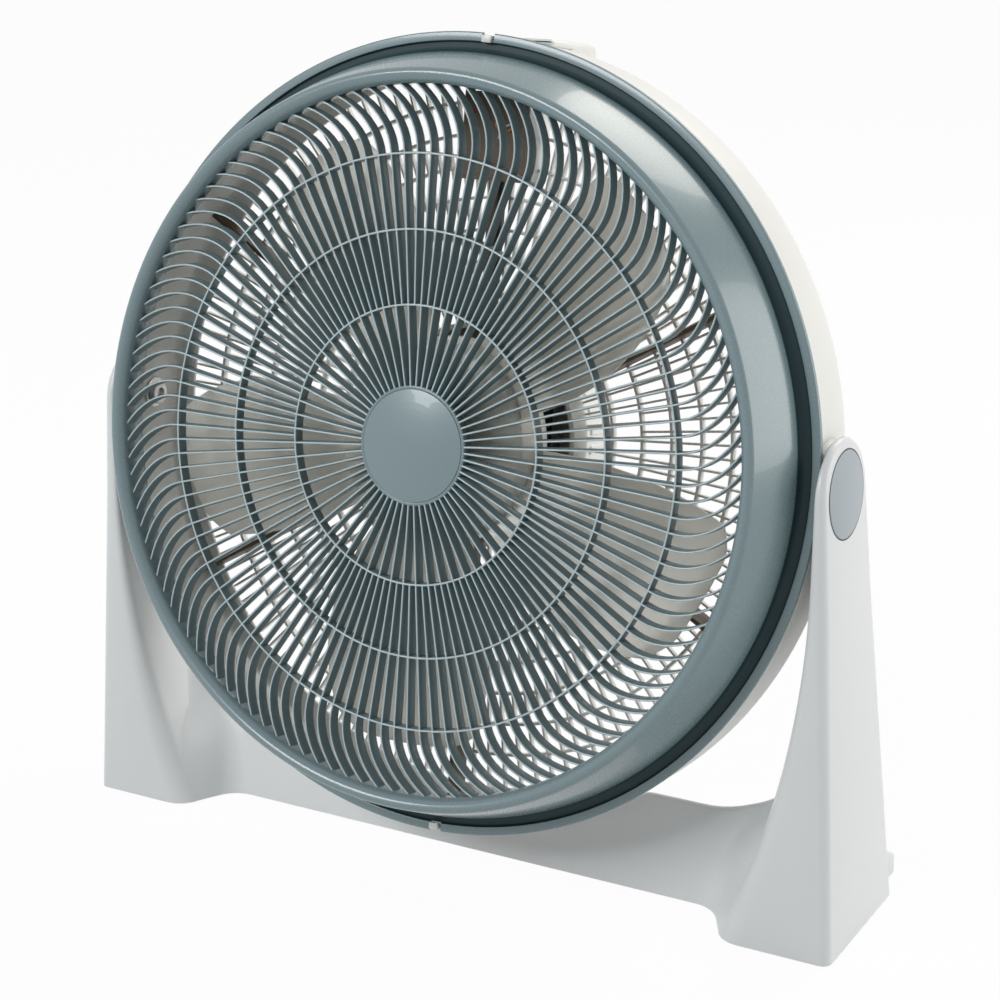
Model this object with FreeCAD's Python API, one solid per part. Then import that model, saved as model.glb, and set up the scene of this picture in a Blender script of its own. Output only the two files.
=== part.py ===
import FreeCAD, Part
import math
import os
from FreeCAD import Placement, Rotation, Vector

# Floor fan: a round head that tilts in a moulded stand. Millimetres, +Z up, front towards -Y.
# Head pieces are drawn in the head's own frame: x right, y up, z forward, origin on the tilt axis.

# Stance
head_tilt = 10.3
head_gap = 0.8

# Flat sides of the round forms
round_sides = 60
hub_sides = 36
disc_sides = 30
washer_sides = 12
bore_sides = 12

# Front frame, from the rim inwards and from the tilt axis forwards
flange_radius = 271.5
flange_width = 5.5
flange_thickness = 3.5
flange_front = 25.0
groove_width = 8.5
groove_depth = 9.0
band_width = 12.5
band_depth = 40.0
bead_width = 9.0
bead_drop = 5.0
frame_wall = 2.5

# Front grille inside the frame
grille_recess = 4.0
rib_depth = 8.0
rib_width = 2.0
rib_count = 120
rib_ledge = 0.6
ring_width = 2.2
ring_depth = 4.0
ring_pitch = 49.2
curl_zone = 43.5
curl_turn = 7.0
cap_radius = 40.0
badge_radius = 37.5
badge_rise = 3.0
badge_seat = 1.0

# Rear housing
drum_step = 2.0
drum_wall = 2.7
drum_length = 47.5
shoulder_drop = 11.0
shoulder_width = 8.5
rear_lip_width = 9.0
guard_depth = 6.0
guard_ring_width = 2.2
guard_ring_pitch = 22.0
guard_ring_sides = 20
spoke_count = 6
spoke_width = 3.2
spoke_depth = 20.0
hub_ring_radius = 78.0
hub_ring_wall = 4.0

# Latches that hold the front frame on the drum
latch_angle = 87.0
latch_width = 7.0
latch_reach = 2.5
latch_gap = 1.0

# Tilt pivots
ear_radius = 34.0
ear_depth = 9.5
bolt_radius = 4.0
bolt_fit = 0.05
bolt_head_radius = 8.0
bolt_head_height = 4.5
washer_radius = 11.0
washer_thickness = 1.2
friction_radius = 20.0
friction_thickness = 0.6
seat_gap = 0.1
nut_across = 13.0
nut_thickness = 2.4
nut_sink = 0.2
pivot_cap_radius = 28.5
pivot_cap_thickness = 3.0
pivot_cap_gap = 0.5

# Stand
foot_splay = 18.0
foot_width = 86.0
foot_front = 54.0
foot_back = 64.0
upright_top_radius = 36.0
upright_thickness = 7.7
knee_drop = 44.0
stand_wall = 4.0
cavity_drop = 34.0
bar_front = 15.0
bar_back = 46.0
bar_rest = 28.7
bar_hollow = 37.3
bar_lean = 18.4
bar_ledge = 2.0
bar_fall = 31.0
bar_blend = 85.0
bar_blend_inset = 30.0
bar_gap = 5.0
bar_inside = 6.0
bar_corner = 12.0
heel_reach = 16.0
heel_low = 8.0
heel_high = 34.0
heel_width = 11.0
heel_inset = 5.0
pad_height = 2.0
pad_size = (30.0, 14.0)
pad_inset = 16.0
pad_floor = 3.0

# Impeller
blade_count = 5
blade_angle = 47.0
blade_lip_gap = 22.0
blade_thickness = 2.2
blade_camber = 4.0
blade_root_half = 27.0
blade_mid_half = 22.0
blade_tip_half = 12.0
blade_sweep = 3.5
blade_front = 41.0
blade_back = 9.0
hub_radius = 70.0
hub_back = 6.0
hub_front = 45.0
hub_wall = 2.6
hub_boss_radius = 10.0

# Motor
shaft_radius = 4.0
shaft_fit = 0.05
shaft_front = 52.0
shaft_tail = 3.0
core_half = 38.0
core_length = 28.0
core_back = -60.0
bell_length = 14.0
bell_wall = 2.5
corner_cut = 12.0
rotor_radius = 23.5
rotor_gap = 0.5
coil_depth = 9.0
coil_width = 8.0
bell_end = 5.0
plate_thickness = 2.5
plate_arm = 18.0
plate_hole = 14.0
cover_wall = 2.5
cover_length = 49.0
cover_taper = 8.0
cover_sides = 20
hub_nut_radius = 9.0
hub_nut_length = 5.5
key_width = 2.5
key_length = 16.0

# Speed control
pod_half_width = 25.0
pod_inset = 18.0
pod_gap = 4.5
pod_back = -52.0
pod_front = -20.0
pod_wall = 2.5
switch_half = 16.0
switch_depth = 26.0
spindle_radius = 3.0
spindle_fit = 0.05
knob_radius = 17.0
knob_height = 14.0
knob_gap = 0.4
knob_lobe = 5.0
capacitor_size = (30.0, 9.0, 18.0)
cover_plate = 2.0
lead_radius = 1.3
lead_z = -28.0
lead_room = 6.0

# Carry handle
handle_half_width = 50.0
handle_reach = 36.0
handle_wall = 5.0
handle_rise = 0.5
handle_drop = 22.0
handle_bevel = 4.0
handle_overlap = 26.0

# Places that follow from the sizes above
tilt = math.radians(head_tilt)
flange_back = flange_front - flange_thickness
flange_inner = flange_radius - flange_width
band_radius = flange_inner - groove_width
ridge_radius = band_radius - band_width
lip_radius = ridge_radius - bead_width
band_front = flange_front + groove_depth
ridge_front = band_front + band_depth
lip_front = ridge_front - bead_drop
grille_front = lip_front - grille_recess
rib_front = grille_front - ring_depth
rib_back = rib_front - rib_depth
ring_radii = [lip_radius - curl_zone - k * ring_pitch for k in (2, 1, 0)]
drum_radius = flange_radius - drum_step
drum_end = flange_back - drum_length
guard_back = drum_end - shoulder_drop
shoulder_radius = drum_radius - shoulder_width
rear_opening = shoulder_radius - rear_lip_width
upright_inner = flange_radius + head_gap
head_sweep = upright_inner + bar_gap
pivot_height = head_sweep + bar_rest
bar_height = bar_rest + bar_hollow
upright_outer = upright_inner + upright_thickness
foot_half_width = upright_outer + foot_splay
foot_inner = foot_half_width - foot_width
upright_lean = foot_splay / pivot_height
upright_knee = pivot_height - knee_drop
cavity_top = upright_knee - cavity_drop
bar_blend_start = foot_inner - bar_blend_inset
nut_start = upright_outer - pivot_cap_thickness - nut_sink - nut_thickness - upright_lean * nut_across / 2
ear_face = upright_inner - friction_thickness - seat_gap
ear_inner = ear_face - ear_depth
handle_top = drum_radius + handle_rise
handle_back = drum_end - handle_reach
blade_tip = lip_radius - blade_lip_gap
blade_mid_radius = (hub_radius + blade_tip) / 2
core_front = core_back + core_length
bell_front = core_front + bell_length
bell_back = core_back - bell_length
pod_high = rear_opening - pod_inset
switch_top = pod_high - pod_wall - capacitor_size[1] - 2 * pod_gap
switch_middle = switch_top - switch_half
pod_low = switch_middle - switch_half - pod_gap - pod_wall
front_reach = ridge_front * math.cos(tilt) + ridge_radius * math.sin(tilt)
rear_reach = (handle_top - handle_bevel) * math.sin(tilt) - handle_back * math.cos(tilt)
pivot_y = (front_reach - rear_reach) / 2

X = Vector(1, 0, 0)
Y = Vector(0, 1, 0)
Z = Vector(0, 0, 1)
head_place = Placement(Vector(0, pivot_y, pivot_height), Rotation(X, 90 - head_tilt))
stand_place = Placement(Vector(0, pivot_y, 0), Rotation())


def polygon(points):
    return Part.makePolygon([Vector(*p) for p in points] + [Vector(*points[0])])


def prism(points, along):
    return Part.Face(polygon(points)).extrude(along)


def holed(wires):
    # A flat face: the first outline with the others as holes.
    return Part.makeFace(wires, "Part::FaceMakerBullseye")


def many_sided(radius, sides, z):
    return Part.makePolygon([polar(radius, 360.0 * k / sides, z) for k in range(sides + 1)])


def turned(profile, sides):
    # A closed outline of (radius, z) pairs carried round the head's axis in flat sides.
    faces = []
    for (r0, z0), (r1, z1) in zip(profile, profile[1:] + profile[:1]):
        if abs(z0 - z1) < 1e-6:
            rims = [many_sided(r, sides, z0) for r in sorted((r0, r1), reverse=True) if r > 0]
            faces.append(holed(rims))
        elif r0 > 0:
            for k in range(sides):
                a, b = 360.0 * k / sides, 360.0 * ((k + 1) % sides) / sides
                loop = [polar(r0, a, z0), polar(r0, b, z0), polar(r1, b, z1), polar(r1, a, z1)]
                faces.append(Part.Face(Part.makePolygon(loop + [loop[0]])))
    skin = Part.makeCompound(faces)
    skin.sewShape()
    body = Part.Solid(skin.Shells[0])
    return body if body.Volume > 0 else body.reversed()


def bar(center, size):
    corner = Vector(*center) - Vector(*size) * 0.5
    return Part.makeBox(size[0], size[1], size[2], corner)


def about_axis(shape, angle):
    copy = shape.copy()
    copy.rotate(Vector(), Z, angle)
    return copy


def mirrored(shape):
    return shape.mirror(Vector(), X)


def polar(radius, angle, z=0.0):
    a = math.radians(angle)
    return Vector(radius * math.cos(a), radius * math.sin(a), z)


def ring_of_sides(outer, width, sides, low, high):
    # A hoop with flat sides, low to high along z.
    turn = [360.0 * k / sides for k in range(sides)]
    rims = [Part.makePolygon([polar(r, a, low) for a in turn + [0]]) for r in (outer, outer - width)]
    return holed(rims).extrude(Z * (high - low))


def rib_side(angle, edge, inner):
    # One side of a rib: straight out to the outer ring, then turned round to meet the lip.
    end = lip_radius - rib_ledge
    stations = [(inner, 0.0), (ring_radii[2], 0.0), (end, curl_turn)]
    return [polar(r, angle + turn + math.degrees(edge / r), rib_back) for r, turn in stations]


def rib_layer():
    # Every second rib runs from the cap to the lip; the ones between start at the inner ring.
    pitch = 360.0 / rib_count
    half = rib_width / 2
    start = ring_radii[0] - ring_width
    gaps = []
    for k in range(rib_count // 2):
        angle = 2 * k * pitch
        near = rib_side(angle, half, cap_radius)
        short_near = rib_side(angle + pitch, -half, start)
        short_far = rib_side(angle + pitch, half, start)
        far = rib_side(angle + 2 * pitch, -half, cap_radius)
        loop = near + short_near[::-1] + short_far + far[::-1]
        gaps.append(Part.makePolygon(loop + [loop[0]]))
    rim = many_sided(lip_radius + frame_wall, round_sides, rib_back)
    return holed([rim] + gaps).extrude(Z * rib_depth)


def front_grille():
    frame = turned([
        (lip_radius, rib_front),
        (lip_radius, lip_front),
        (ridge_radius, ridge_front),
        (band_radius, band_front),
        (flange_inner, flange_front),
        (flange_radius, flange_front),
        (flange_radius, flange_back),
        (flange_inner - frame_wall, flange_back),
        (band_radius - frame_wall, band_front),
        (lip_radius + frame_wall, rib_front),
    ], round_sides)
    seat = many_sided((cap_radius + badge_radius) / 2, disc_sides, rib_front)
    cap = Part.Face(seat).extrude(Z * (ring_depth - badge_seat))
    body = frame.fuse([rib_layer(), cap])
    gap = latch_width + 2 * latch_gap
    notch = bar((flange_radius, 0, flange_front), (2 * flange_width, gap, 3 * flange_thickness))
    return body.cut([about_axis(notch, side) for side in (latch_angle, -latch_angle)])


def grille_rings():
    sides = rib_count // 4
    return Part.makeCompound([
        ring_of_sides(r, ring_width, sides, rib_front, grille_front) for r in ring_radii
    ])


def centre_badge():
    base = many_sided(badge_radius, disc_sides, grille_front - badge_seat)
    return Part.Face(base).extrude(Z * badge_rise)


def drum_outline(inset):
    return [
        (drum_radius - inset, flange_back),
        (drum_radius - inset, drum_end),
        (shoulder_radius - inset, guard_back),
    ]


def guard_radii():
    count = int((rear_opening - hub_ring_radius - guard_ring_pitch / 2) / guard_ring_pitch)
    return [rear_opening - (k + 1) * guard_ring_pitch for k in range(count)]


def guard_rings():
    # Hoops of the rear guard, seated on the backs of the spokes.
    low = guard_back - guard_depth
    return Part.makeCompound([
        ring_of_sides(r, guard_ring_width, guard_ring_sides, low, guard_back).cut(pod()[0])
        for r in guard_radii()
    ])


def spokes():
    # Deep spokes from the hub ring into the drum's wall.
    inner = hub_ring_radius - hub_ring_wall / 2
    run = drum_radius - inner
    spoke = bar((inner + run / 2, 0, guard_back + spoke_depth / 2), (run, spoke_width, spoke_depth))
    row = [about_axis(spoke, 30.0 + 360.0 * k / spoke_count) for k in range(spoke_count)]
    room = drum_envelope(drum_wall / 2)
    return [s.common(room) for s in row]


def drum_envelope(inset):
    return turned([(0, guard_back)] + drum_outline(inset)[::-1] + [(0, flange_back)], round_sides)


def hub_ring():
    # The motor plate rests on its front end, and the leads pass through a gap at the top.
    ring = ring_of_sides(hub_ring_radius, hub_ring_wall, guard_ring_sides, guard_back, bell_front)
    middle = lead_z - 2 * lead_radius + spoke_depth
    gap = bar((0, hub_ring_radius, middle), (2 * lead_room, 4 * hub_ring_wall, 2 * spoke_depth))
    return ring.cut(gap)


def pod():
    # Open-fronted box of the speed control, moulded into the guard.
    middle = (pod_low + pod_high) / 2
    tall = pod_high - pod_low
    deep = pod_front - pod_back
    outer = bar((0, middle, (pod_front + pod_back) / 2), (2 * pod_half_width, tall, deep))
    inner_size = (2 * (pod_half_width - pod_wall), tall - 2 * pod_wall, deep)
    inner = bar((0, middle, (pod_front + pod_back) / 2 + pod_wall), inner_size)
    start = Vector(0, switch_middle, pod_back - pod_wall / 2)
    hole = Part.makeCylinder(spindle_radius + spindle_fit, 2 * pod_wall, start)
    gap_middle = lead_z - 2 * lead_radius + spoke_depth
    gap = bar((0, pod_low, gap_middle), (2 * lead_room, 4 * pod_wall, 2 * spoke_depth))
    return outer, outer.cut([inner, hole, gap])


def rear_housing():
    wall = turned(drum_outline(0) + [
        (rear_opening, guard_back),
        (rear_opening, guard_back + drum_wall),
        (drum_radius - drum_wall, drum_end + drum_wall * 0.5),
        (drum_radius - drum_wall, flange_back),
    ], round_sides)
    ear = Part.makeCylinder(ear_radius, ear_depth, Vector(ear_inner, 0, 0), X)
    front = flange_back + ear_radius
    ear = ear.cut(bar((ear_inner, 0, front), (4 * ear_depth, 2 * ear_radius, 2 * ear_radius)))
    hook = bar(
        (flange_inner + flange_width * 0.45, 0, flange_back),
        (flange_width * 0.5, latch_width, 2 * (flange_thickness + latch_reach)),
    )
    box, shell = pod()
    hooks = [about_axis(hook, side) for side in (latch_angle, -latch_angle)]
    ahead = box.copy()
    ahead.translate(Z * spoke_depth)
    struts = [s.cut([box, ahead]) for s in spokes()]
    body = wall.fuse(struts + [hub_ring(), ear, mirrored(ear), shell] + hooks)
    bore = Part.makeCylinder(bolt_radius + bolt_fit, 2 * upright_inner, Vector(-upright_inner, 0, 0), X)
    return body.cut(bore)


def carry_handle():
    # A bow over the drum's rear edge: the fingers go up behind the drum, under the bow.
    top = handle_top
    low = top - handle_drop - handle_wall
    bevel = handle_bevel
    start = drum_end + handle_overlap
    section = [
        (start, drum_radius - 2 * handle_wall),
        (start, top),
        (handle_back + bevel, top),
        (handle_back, top - bevel),
        (handle_back, low),
        (guard_back + handle_wall, low),
    ]
    bow = prism([(-handle_half_width, y, z) for z, y in section], X * (2 * handle_half_width))
    ends = [e for e in bow.Edges if e.BoundBox.XLength < 0.1 and e.BoundBox.YMin > top - bevel / 2]
    bow = bow.makeChamfer(bevel * 0.5, ends)
    room_top = top - handle_wall
    room_back = handle_back + handle_wall
    room = bar(
        (0, room_top - handle_drop, (room_back + drum_end) / 2),
        (2 * (handle_half_width - handle_wall), 2 * handle_drop, drum_end - room_back),
    )
    return bow.cut([room, drum_envelope(0)])


def octagon(half, cut, z):
    a, b = half, half - cut
    corners = [(a, -b), (a, b), (b, a), (-b, a), (-a, b), (-a, -b), (-b, -a), (b, -a)]
    return polygon([(x, y, z) for x, y in corners])


def motor_cover():
    # Faceted cup that closes the back of the motor.
    mouth = hub_ring_radius - hub_ring_wall * 0.25
    cup = Part.Face(many_sided(mouth, cover_sides, guard_back)).extrude(-Z * cover_length)
    back = guard_back - cover_length
    cup = cup.makeChamfer(cover_taper, [e for e in cup.Edges if e.BoundBox.ZMax < back + 0.1])
    room = Part.Face(many_sided(mouth - cover_wall, cover_sides, guard_back)).extrude(
        -Z * (cover_length - cover_taper)
    )
    return cup.cut(room)


def motor_plate():
    reach = hub_ring_radius - hub_ring_wall * 0.25
    arm = bar((0, 0, bell_front + plate_thickness / 2), (2 * reach, plate_arm, plate_thickness))
    hole = Part.Face(many_sided(plate_hole, 8, bell_front)).extrude(Z * plate_thickness)
    middle = Part.Face(octagon(core_half, corner_cut, bell_front)).extrude(Z * plate_thickness)
    return middle.fuse([about_axis(arm, 45), about_axis(arm, 135)]).cut(hole)


def motor_bell(face, outer):
    # End bell from the core's face to its outer end, with the shaft's bearing in the end wall.
    way = Z if outer > face else -Z
    shell = Part.Face(octagon(core_half, corner_cut, face)).extrude(way * bell_length)
    hollow = Part.Face(octagon(core_half - bell_wall, corner_cut, face))
    room = hollow.extrude(way * (bell_length - bell_end))
    bore = Part.makeCylinder(shaft_radius + shaft_fit, bell_length, Vector(0, 0, face), way)
    return shell.cut([room, bore])


def bore_wire(radius, sides, z):
    # A flat-sided hole whose sides touch a round rod of this radius.
    return many_sided(radius / math.cos(math.pi / sides), sides, z)


def stator_core():
    bore = bore_wire(rotor_radius + rotor_gap, 24, core_back)
    return holed([octagon(core_half, corner_cut, core_back), bore]).extrude(Z * core_length)


def stator_coils():
    outer = core_half - bell_wall - 1.0
    front = ring_of_sides(outer, coil_width, 8, core_front, core_front + coil_depth)
    back = ring_of_sides(outer, coil_width, 8, core_back - coil_depth, core_back)
    return Part.makeCompound([front, back])


def rotor():
    rims = [many_sided(rotor_radius, 20, core_back), bore_wire(shaft_radius, bore_sides, core_back)]
    return holed(rims).extrude(Z * core_length)


def key_box():
    return bar((0, shaft_radius, hub_front - key_length / 2), (key_width, key_width, key_length))


def motor_shaft():
    back = bell_back - shaft_tail
    return Part.makeCylinder(shaft_radius, shaft_front - back, Vector(0, 0, back)).cut(key_box())


def hub_nut():
    rims = [many_sided(hub_nut_radius, 6, hub_front), bore_wire(shaft_radius, bore_sides, hub_front)]
    return holed(rims).extrude(Z * hub_nut_length)


def edge_points(root, middle, tip):
    # Points along one edge of a blade, its angle bending smoothly from root to tip.
    r0, r1, r2 = hub_radius - hub_wall * 0.4, blade_mid_radius, blade_tip
    points = []
    for share in (0.0, 0.3, 0.6, 0.85, 1.0):
        r = r0 + share * (r2 - r0)
        a = root * (r - r1) * (r - r2) / ((r0 - r1) * (r0 - r2))
        b = middle * (r - r0) * (r - r2) / ((r1 - r0) * (r1 - r2))
        c = tip * (r - r0) * (r - r1) / ((r2 - r0) * (r2 - r1))
        points.append(polar(r, a + b + c))
    return points


def arc_points(radius, start, end, count):
    step = (end - start) / count
    return [polar(radius, start + step * k) for k in range(1, count)]


def blade():
    # A cambered sheet across the blade, cut to the blade's outline.
    half = blade_mid_radius * math.sin(math.radians(blade_mid_half))
    middle = (blade_front + blade_back) / 2
    rise = (blade_front - blade_back) / 2
    sheet = []
    for side in (1, -1):
        for k in (-3, -1, 1, 3):
            t = k * side / 2.4
            camber = blade_camber * (1 - t * t)
            sheet.append((0, half * t, middle - rise * t + camber + side * blade_thickness / 2))
    form = prism(sheet, X * (blade_tip * 1.1))
    low, high = blade_sweep - blade_tip_half, blade_sweep + blade_tip_half
    root = hub_radius - hub_wall * 0.4
    loop = edge_points(-blade_root_half, -blade_mid_half, low) + arc_points(blade_tip, low, high, 3)
    loop += edge_points(blade_root_half, blade_mid_half, high)[::-1]
    loop += arc_points(root, blade_root_half, -blade_root_half, 4)
    outline = Part.Face(Part.makePolygon(loop + [loop[0]])).extrude(Z * (2 * hub_front))
    return form.common(outline)


def impeller():
    inner = hub_front - 2 * hub_wall
    hub = turned([
        (0, hub_front - 2 * key_length),
        (hub_boss_radius, hub_front - 2 * key_length),
        (hub_boss_radius, inner),
        (hub_radius - hub_wall, inner),
        (hub_radius - hub_wall, hub_back),
        (hub_radius, hub_back),
        (hub_radius, hub_front - hub_wall),
        (hub_radius * 0.78, hub_front),
        (0, hub_front),
    ], hub_sides)
    one = blade()
    blades = [about_axis(one, blade_angle + 360.0 * k / blade_count) for k in range(blade_count)]
    bore = Part.makeCylinder(shaft_radius, 2 * key_length, Vector(0, 0, hub_front - 2 * key_length))
    return hub.fuse(blades).cut([bore, key_box()])


def rotary_switch():
    seat = pod_back + pod_wall
    size = (2 * switch_half, 2 * switch_half, switch_depth)
    return bar((0, switch_middle, seat + switch_depth / 2), size)


def capacitor():
    wide, tall, deep = capacitor_size
    place = (0, switch_top + pod_gap + tall / 2, pod_back + pod_wall + deep / 2)
    return bar(place, (wide, tall, deep))


def switch_cover():
    middle = (pod_low + pod_high) / 2
    size = (2 * pod_half_width, pod_high - pod_low, cover_plate)
    return bar((0, middle, pod_front + cover_plate / 2), size)


def motor_leads():
    top = switch_middle - switch_half
    x = spoke_width / 2 + lead_radius + seat_gap
    lead = Part.Face(many_sided(lead_radius, 8, 0)).extrude(Z * (top - core_half))
    lead.rotate(Vector(), X, -90)
    lead.translate(Vector(x, core_half, lead_z))
    return Part.makeCompound([lead, mirrored(lead)])


def speed_knob():
    near = pod_back - knob_gap
    body = Part.Face(many_sided(knob_radius, 12, near)).extrude(-Z * knob_height)
    grip = (knob_radius * 0.45, knob_radius * 1.8, knob_lobe)
    lobe = bar((0, 0, near - knob_height - knob_lobe / 2), grip)
    inner = pod_back + pod_wall - knob_gap
    spindle = Part.makeCylinder(spindle_radius, inner - near, Vector(0, 0, near))
    knob = body.fuse([lobe, spindle])
    knob.translate(Vector(0, switch_middle, 0))
    return knob


def tangent_point(start, centre, radius, front):
    # Where a line from start, in (y, z), touches a circle; front picks the side towards -y.
    dy, dz = centre[0] - start[0], centre[1] - start[1]
    far = math.hypot(dy, dz)
    run = math.sqrt(far * far - radius * radius)
    turn = math.asin(radius / far) * (1 if front else -1)
    c, s = math.cos(turn), math.sin(turn)
    return start[0] + run * (dy * c - dz * s) / far, start[1] + run * (dy * s + dz * c) / far


def leg_outline(inset):
    # Front outline of the right leg: leaning outside, inside curved from the knee down to the foot.
    top = pivot_height + upright_top_radius
    inner = upright_inner + inset
    step = upright_inner - foot_inner
    bend = (upright_knee ** 2 + step ** 2) / (2 * step)
    half = math.asin(upright_knee / bend) / 2
    a = Vector(foot_half_width - inset, 0, 0)
    b = Vector(foot_half_width - inset - upright_lean * top, 0, top)
    c = Vector(inner, 0, top)
    d = Vector(inner, 0, upright_knee)
    middle = Vector(inner - bend + bend * math.cos(half), 0, upright_knee - bend * math.sin(half))
    e = Vector(foot_inner + inset, 0, 0)
    if b.x < c.x + 0.1:
        room = (a.x - c.x - 0.1) / (a.x - b.x)
        b = a + (b - a) * room
        c = Vector(b.x - 0.05, 0, b.z)
        d = Vector(c.x, 0, upright_knee)
    edges = [Part.makeLine(a, b), Part.makeLine(b, c), Part.makeLine(c, d)]
    edges += [Part.Arc(d, middle, e).toShape(), Part.makeLine(e, a)]
    return Part.Face(Part.Wire(edges))


def leg_side(inset):
    # Side outline: front and back edges touch the rounded top.
    centre = (0.0, pivot_height)
    radius = upright_top_radius - inset
    low_front, low_back = (-foot_front + inset, 0.0), (foot_back - inset, 0.0)
    tf = tangent_point(low_front, centre, radius, True)
    tb = tangent_point(low_back, centre, radius, False)
    p = [Vector(0, y, z) for y, z in (low_front, tf, (0.0, pivot_height + radius), tb, low_back)]
    edges = [Part.makeLine(p[0], p[1]), Part.Arc(p[1], p[2], p[3]).toShape(), Part.makeLine(p[3], p[4])]
    return Part.Face(Part.Wire(edges + [Part.makeLine(p[4], p[0])]))


def leg_form(inset):
    deep = foot_front + foot_back
    front_view = leg_outline(inset).extrude(Y * (2 * deep))
    front_view.translate(-Y * deep)
    return front_view.common(leg_side(inset).extrude(X * foot_half_width))


def bar_outline(drop, base):
    # Front outline of the crossbar; its top is hollowed round the tilt axis to let the head swing.
    sweep = head_sweep + drop
    top = bar_height - drop
    rise = pivot_height - top
    reach = math.sqrt(sweep * sweep - rise * rise)
    turn = math.radians(60)
    def on_blend(angle):
        return bar_blend_start + bar_blend * math.sin(angle), top + bar_blend * (1 - math.cos(angle))
    far, high = on_blend(turn)
    mid = on_blend(turn / 2)
    wide = far + bar_inside
    def at(x, z):
        return Vector(x, 0, z)
    edges = [
        Part.makeLine(at(-wide, base), at(wide, base)),
        Part.makeLine(at(wide, base), at(wide, high)),
        Part.makeLine(at(wide, high), at(far, high)),
        Part.Arc(at(far, high), at(*mid), at(bar_blend_start, top)).toShape(),
        Part.makeLine(at(bar_blend_start, top), at(reach, top)),
        Part.Arc(at(reach, top), at(0, pivot_height - sweep), at(-reach, top)).toShape(),
        Part.makeLine(at(-reach, top), at(-bar_blend_start, top)),
        Part.Arc(at(-bar_blend_start, top), at(-mid[0], mid[1]), at(-far, high)).toShape(),
        Part.makeLine(at(-far, high), at(-wide, high)),
        Part.makeLine(at(-wide, high), at(-wide, base)),
    ]
    return Part.Face(Part.Wire(edges))


def crossbar(inset):
    # The front leans back, and behind a narrow ledge the top falls away to the back.
    slope = math.tan(math.radians(bar_lean))
    tall = 2 * bar_height
    side = prism([
        (-foot_half_width, -bar_front + inset, 0),
        (-foot_half_width, bar_back - inset, 0),
        (-foot_half_width, bar_back - inset - slope * tall / 4, tall),
        (-foot_half_width, -bar_front + inset + slope * tall, tall),
    ], X * (2 * foot_half_width))
    deep = foot_front + foot_back
    front_view = bar_outline(inset, 0).extrude(Y * (2 * deep))
    front_view.translate(-Y * deep)
    fall = Y - Z * math.tan(math.radians(bar_fall))
    falling = bar_outline(inset, -2 * deep).extrude(fall * (2 * deep))
    falling.translate(Y * (slope * bar_height - bar_front + bar_ledge) - fall * deep)
    return front_view.common(side).common(falling)


def heel():
    # Small step at the back of each foot.
    back = foot_back - heel_high * (foot_back - upright_top_radius) / pivot_height
    x = foot_half_width - heel_inset - heel_width
    return prism([
        (x, back - stand_wall, heel_low),
        (x, foot_back + heel_reach, heel_low),
        (x, foot_back + heel_reach * 0.7, (heel_low + heel_high) / 2),
        (x, back - stand_wall, heel_high),
    ], X * heel_width)


def pad_places():
    x = (foot_inner + foot_half_width) / 2 + pad_size[0] * 0.25
    return [(x, -foot_front + pad_inset), (x, foot_back - pad_inset)]


def cap_disc(radius, thickness):
    # A disc sunk square into the leaning outer face of the right upright, at the tilt axis.
    out = Vector(1, 0, upright_lean).normalize()
    disc = Part.Face(many_sided(radius, disc_sides, -thickness)).extrude(Z * thickness)
    disc.Placement = Placement(Vector(upright_outer, 0, pivot_height), Rotation(Z, out))
    return disc


def along_pivot(wires, start, length):
    # Flat outlines drawn round the head's axis, turned and pushed out along the tilt axis.
    shape = holed(wires).extrude(Z * length)
    shape.rotate(Vector(), Y, 90)
    shape.translate(Vector(start, 0, pivot_height))
    return shape


def hexagon(across):
    return many_sided(across / math.sqrt(3), 6, 0)


def rod(radius, start, end):
    return Part.makeCylinder(radius, end - start, Vector(start, 0, pivot_height), X)


def stand():
    leg = leg_form(0)
    body = leg.fuse([mirrored(leg), crossbar(0)])
    block = (4 * foot_half_width, 4 * foot_back, 2 * cavity_top)
    room = leg_form(stand_wall).common(bar((0, 0, 0), block))
    end = foot_inner - bar_corner
    bar_room = crossbar(stand_wall).common(bar((0, 0, 0), (2 * end, 4 * foot_back, 4 * bar_height)))
    body = body.cut([room, mirrored(room), bar_room])
    floors = []
    for x, y in pad_places():
        size = (4 * pad_size[0], pad_size[1] + pad_floor, pad_floor)
        slab = bar((x, y, pad_height + pad_floor / 2), size)
        floors.append(leg_form(stand_wall / 2).common(slab))
    tabs = [heel()] + floors
    body = body.fuse(tabs + [mirrored(t) for t in tabs])
    sole = bar((0, 0, pad_height - foot_back), (4 * foot_half_width, 6 * foot_back, 2 * foot_back))
    sink = cap_disc(pivot_cap_radius + pivot_cap_gap, pivot_cap_thickness)
    pocket = along_pivot([hexagon(nut_across)], nut_start, upright_thickness)
    bore = rod(bolt_radius + bolt_fit, upright_inner - 1, upright_outer)
    cuts = [sink, pocket, bore]
    return body.cut([sole] + cuts + [mirrored(c) for c in cuts])


def pair(shape):
    return Part.makeCompound([shape, mirrored(shape)])


def pivot_caps():
    return pair(cap_disc(pivot_cap_radius, pivot_cap_thickness))


def pivot_bolts():
    under = ear_inner - seat_gap - washer_thickness
    rim = many_sided(bolt_head_radius, bore_sides, 0)
    head = along_pivot([rim], under - bolt_head_height, bolt_head_height)
    return pair(head.fuse(rod(bolt_radius, under, nut_start + nut_thickness)))


def pivot_nuts():
    rims = [hexagon(nut_across), bore_wire(bolt_radius, bore_sides, 0)]
    return pair(along_pivot(rims, nut_start, nut_thickness))


def flat_washer(radius, start, thickness):
    rims = [many_sided(radius, washer_sides, 0), bore_wire(bolt_radius + bolt_fit, bore_sides, 0)]
    return along_pivot(rims, start, thickness)


def pivot_washers():
    start = ear_inner - seat_gap - washer_thickness
    return pair(flat_washer(washer_radius, start, washer_thickness))


def friction_washers():
    start = upright_inner - friction_thickness
    return pair(flat_washer(friction_radius, start, friction_thickness))


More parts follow.
